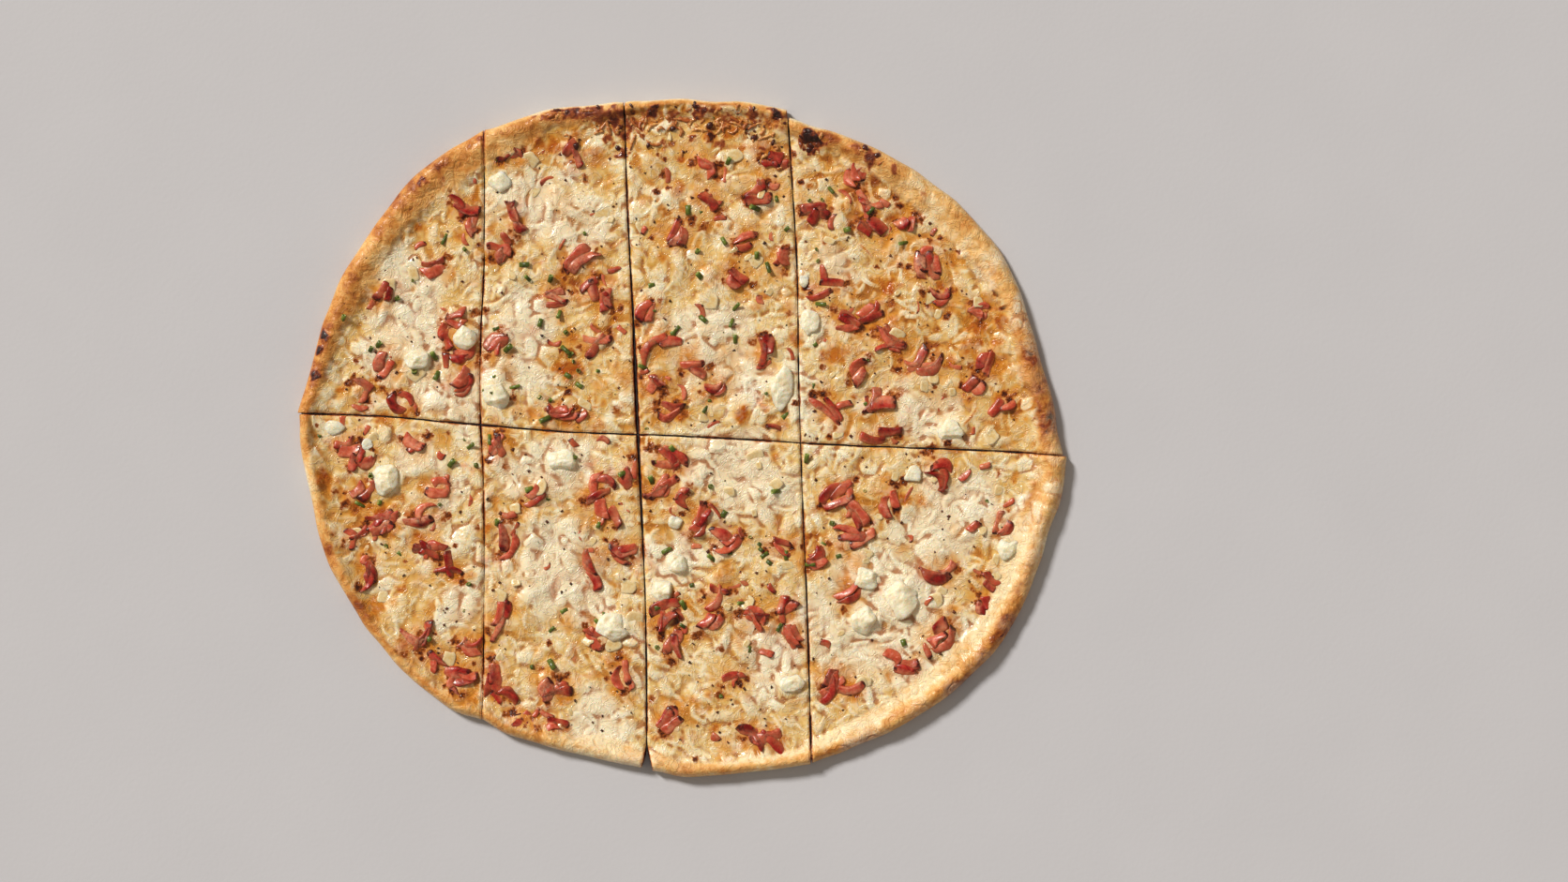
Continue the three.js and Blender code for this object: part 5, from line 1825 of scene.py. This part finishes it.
def slice_material():
    g = Graph("baked_topping")
    fine = g.noise(1.1, 3, 0.6)
    strings = g.maths("ABSOLUTE", g.maths("SUBTRACT", g.noise(5, 2, 0.5, 1.6), 0.5))
    colour = browned(g, cheese_colour(g, strings), fine)
    colour = charred(g, crusted(g, colour, fine))
    dry = g.maths("MAXIMUM", g.attribute("crumb"), g.attribute("under"))
    dry = g.maths("MAXIMUM", g.attribute("crust"), dry)
    return g.surface(
        colour, g.plus(g.cloud(4, 3, 0.3, 0.7, 0.08, 0.3), g.times(dry, 0.3)),
        (g.noise(1.8, 2, 0.5), 0.16), (g.spread(strings, 0.0, 0.07, 1.0, 0.0), 0.16),
        Subsurface_Weight=0.25, Subsurface_Scale=0.002, Subsurface_Radius=(1.0, 0.6, 0.3),
        Coat_Weight=0.1, Coat_Roughness=0.12, Specular_IOR_Level=0.4,
    )


def ham_material():
    g = Graph("ham")
    uneven = g.cloud(3, 2, 0.2, 0.8, 0.0, 0.6, rough=0.5, warp=1.0)
    shade = g.plus(uneven, g.times(g.attribute("tone"), 0.45))
    meat = g.ramp(shade, [(0.05, HAM_PALE), (0.25, HAM_PINK), (0.55, HAM_RED), (0.95, HAM_DARK)])
    colour = g.blend(g.patchy("fat", 1.5, 3, 0.3, 0.7, 0.2, 0.9), meat, HAM_FAT)
    # Partly painted shade: each strip's sides and ends are darkened
    colour = g.blend(g.patchy("rind", 2.6, 3, 0.35, 0.65, 0.0, 0.85), colour, HAM_RIND_AND_SHADE)
    film = g.times(g.patchy("veil", 1.6, 3, 0.3, 0.6, 0.5, 1.0), 0.74)
    colour = g.blend(film, colour, HAM_FILM)
    scorch = g.patchy("char", 1.6, 3, 0.35, 0.6, 0.3, 1.1)
    colour = g.blend(g.spread(scorch, 0.1, 0.8), colour, HAM_CHAR)
    return g.surface(
        colour, g.cloud(2, 2, 0.3, 0.7, 0.2, 0.42), (g.noise(1.4, 2, 0.5, 1.0), 0.1),
        Subsurface_Weight=0.45, Subsurface_Scale=0.002, Subsurface_Radius=(1.0, 0.3, 0.15),
        Coat_Weight=0.06, Coat_Roughness=0.08, Specular_IOR_Level=0.4,
    )


def cream_material():
    g = Graph("cream")
    colour = g.ramp(g.noise(3, 3, 0.6), [(0.3, LUMP_LIGHT), (0.55, LUMP_WARM), (0.8, LUMP_DEEP)])
    colour = g.blend(g.times(g.attribute("veil"), 0.5), colour, CHEESE_PALE)
    return g.surface(
        colour, g.cloud(2, 3, 0.3, 0.7, 0.28, 0.5),
        (g.noise(0.8, 4, 0.6), 0.16), (g.noise(2.6, 3, 0.6), 0.5),
        Subsurface_Weight=0.6, Subsurface_Scale=0.004, Subsurface_Radius=(1.0, 0.75, 0.5), Coat_Weight=0.1,
    )


def chive_material():
    g = Graph("chive")
    shade = g.plus(g.cloud(1.2, 3, 0.2, 0.8, 0.0, 0.5), g.times(g.attribute("tone"), 0.5))
    green = g.ramp(shade, [(0.1, CHIVE_DARK), (0.5, CHIVE_GREEN), (0.95, CHIVE_LIGHT)])
    return g.surface(
        g.blend(g.attribute("inside"), green, CHIVE_INSIDE), g.cloud(1, 2, 0.3, 0.7, 0.25, 0.45),
        (g.noise(0.4, 2, 0.6), 0.06),
        Subsurface_Weight=0.1, Subsurface_Scale=0.002, Subsurface_Radius=(0.4, 1.0, 0.2),
    )


def onion_material():
    g = Graph("onion")
    flesh = g.blend(g.cloud(1.5, 3, 0.3, 0.7), ONION_PALE, ONION_GOLD)
    return g.surface(
        g.blend(g.times(g.attribute("rim"), 0.5), flesh, ONION_RIM), g.cloud(1, 2, 0.3, 0.7, 0.15, 0.3),
        (g.noise(0.9, 3, 0.6), 0.1),
        Subsurface_Weight=0.35, Subsurface_Scale=0.002, Subsurface_Radius=(1.0, 0.8, 0.5), Coat_Weight=0.3,
    )


def burnt_material(name):
    light, dark, rough = BURNT_LOOKS[name]
    g = Graph(name)
    colour = g.blend(g.patchy("tone", 1, 3, 0.3, 0.7), dark, light)
    return g.surface(colour, g.cloud(0.8, 3, 0.3, 0.7, rough, rough + 0.25), (g.noise(0.5, 3, 0.6), 0.1))


baked = slice_material()
ham = ham_material()
cream = cream_material()
for number, piece in enumerate(SLICES, 1):
    bread = make_slice(piece, number, baked)
    strips = make_ham(piece, number, ham)
    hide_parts(piece["name"])
    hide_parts(piece["name"])
make_cream(cream)
make_cream_bits(cream)
make_chives(chive_material())
make_onion(onion_material())
make_burnt(burnt_material("burnt"))
make_curls(burnt_material("crisp"))
make_specks(burnt_material("pepper"))


# Floor, light and camera: sizes in metres, the picture's width in pixels and the sensor in millimetres.
# The light comes from the direction of a point, with a softness in degrees.
FLOOR_SIZE = 1.6
FLOOR_SQUARES = 4
FLOOR_DROP = 0.0002
FLOOR_COLOUR = linear(199, 200, 208)
FLOOR_LIGHT = linear(205, 206, 214)
KEY_FROM = (-1.0, 0.95, 1.15)
KEY_SOFTNESS = 11
KEY_POWER = 3.22
KEY_COLOUR = (1.0, 0.945, 0.86)
WORLD_COLOUR = (1.0, 0.89, 0.74, 1)
WORLD_POWER = 0.28
PHOTO_WIDTH = 1672
PICTURE_CENTRE = (0.0424, -0.0014)
CAMERA_HEIGHT = 1.3
SENSOR = 36.0


def make_floor():
    g = Graph("table")
    colour = g.blend(g.noise(60, 3), FLOOR_COLOUR, FLOOR_LIGHT)
    count = FLOOR_SQUARES + 1
    steps = np.linspace(-FLOOR_SIZE / 2, FLOOR_SIZE / 2, count)
    points = [(x, y, -FLOOR_DROP) for y in steps for x in steps]
    corners = [count * j + i for j in range(FLOOR_SQUARES) for i in range(FLOOR_SQUARES)]
    mesh = bpy.data.meshes.new("floor")
    mesh.from_pydata(points, [], [(k, k + 1, k + count + 1, k + count) for k in corners])
    mesh.materials.append(g.surface(colour, 0.7, (g.noise(2, 3), 0.05)))
    floor = bpy.data.objects.new("floor", mesh)
    bpy.context.scene.collection.objects.link(floor)


def make_light():
    light = bpy.data.lights.new("key", "SUN")
    light.angle = math.radians(KEY_SOFTNESS)
    light.energy = KEY_POWER
    light.color = KEY_COLOUR
    lamp = bpy.data.objects.new("key", light)
    lamp.location = KEY_FROM
    x, y, z = -np.array(KEY_FROM)
    lamp.rotation_euler = (math.atan2(np.hypot(x, y), -z), 0, math.atan2(y, x) - math.pi / 2)
    bpy.context.scene.collection.objects.link(lamp)


def make_camera():
    camera = bpy.data.cameras.new("camera")
    camera.sensor_width = SENSOR
    camera.lens = SENSOR * CAMERA_HEIGHT / (PHOTO_WIDTH * PIXEL * MM)
    holder = bpy.data.objects.new("camera", camera)
    holder.location = (*PICTURE_CENTRE, CAMERA_HEIGHT)
    bpy.context.scene.collection.objects.link(holder)
    bpy.context.scene.camera = holder


def make_world():
    world = bpy.data.worlds.new("studio")
    world.use_nodes = True
    background = world.node_tree.nodes["Background"]
    background.inputs["Color"].default_value = WORLD_COLOUR
    background.inputs["Strength"].default_value = WORLD_POWER
    bpy.context.scene.world = world


make_floor()
make_light()
make_camera()
make_world()
bpy.context.scene.view_settings.view_transform = "Standard"
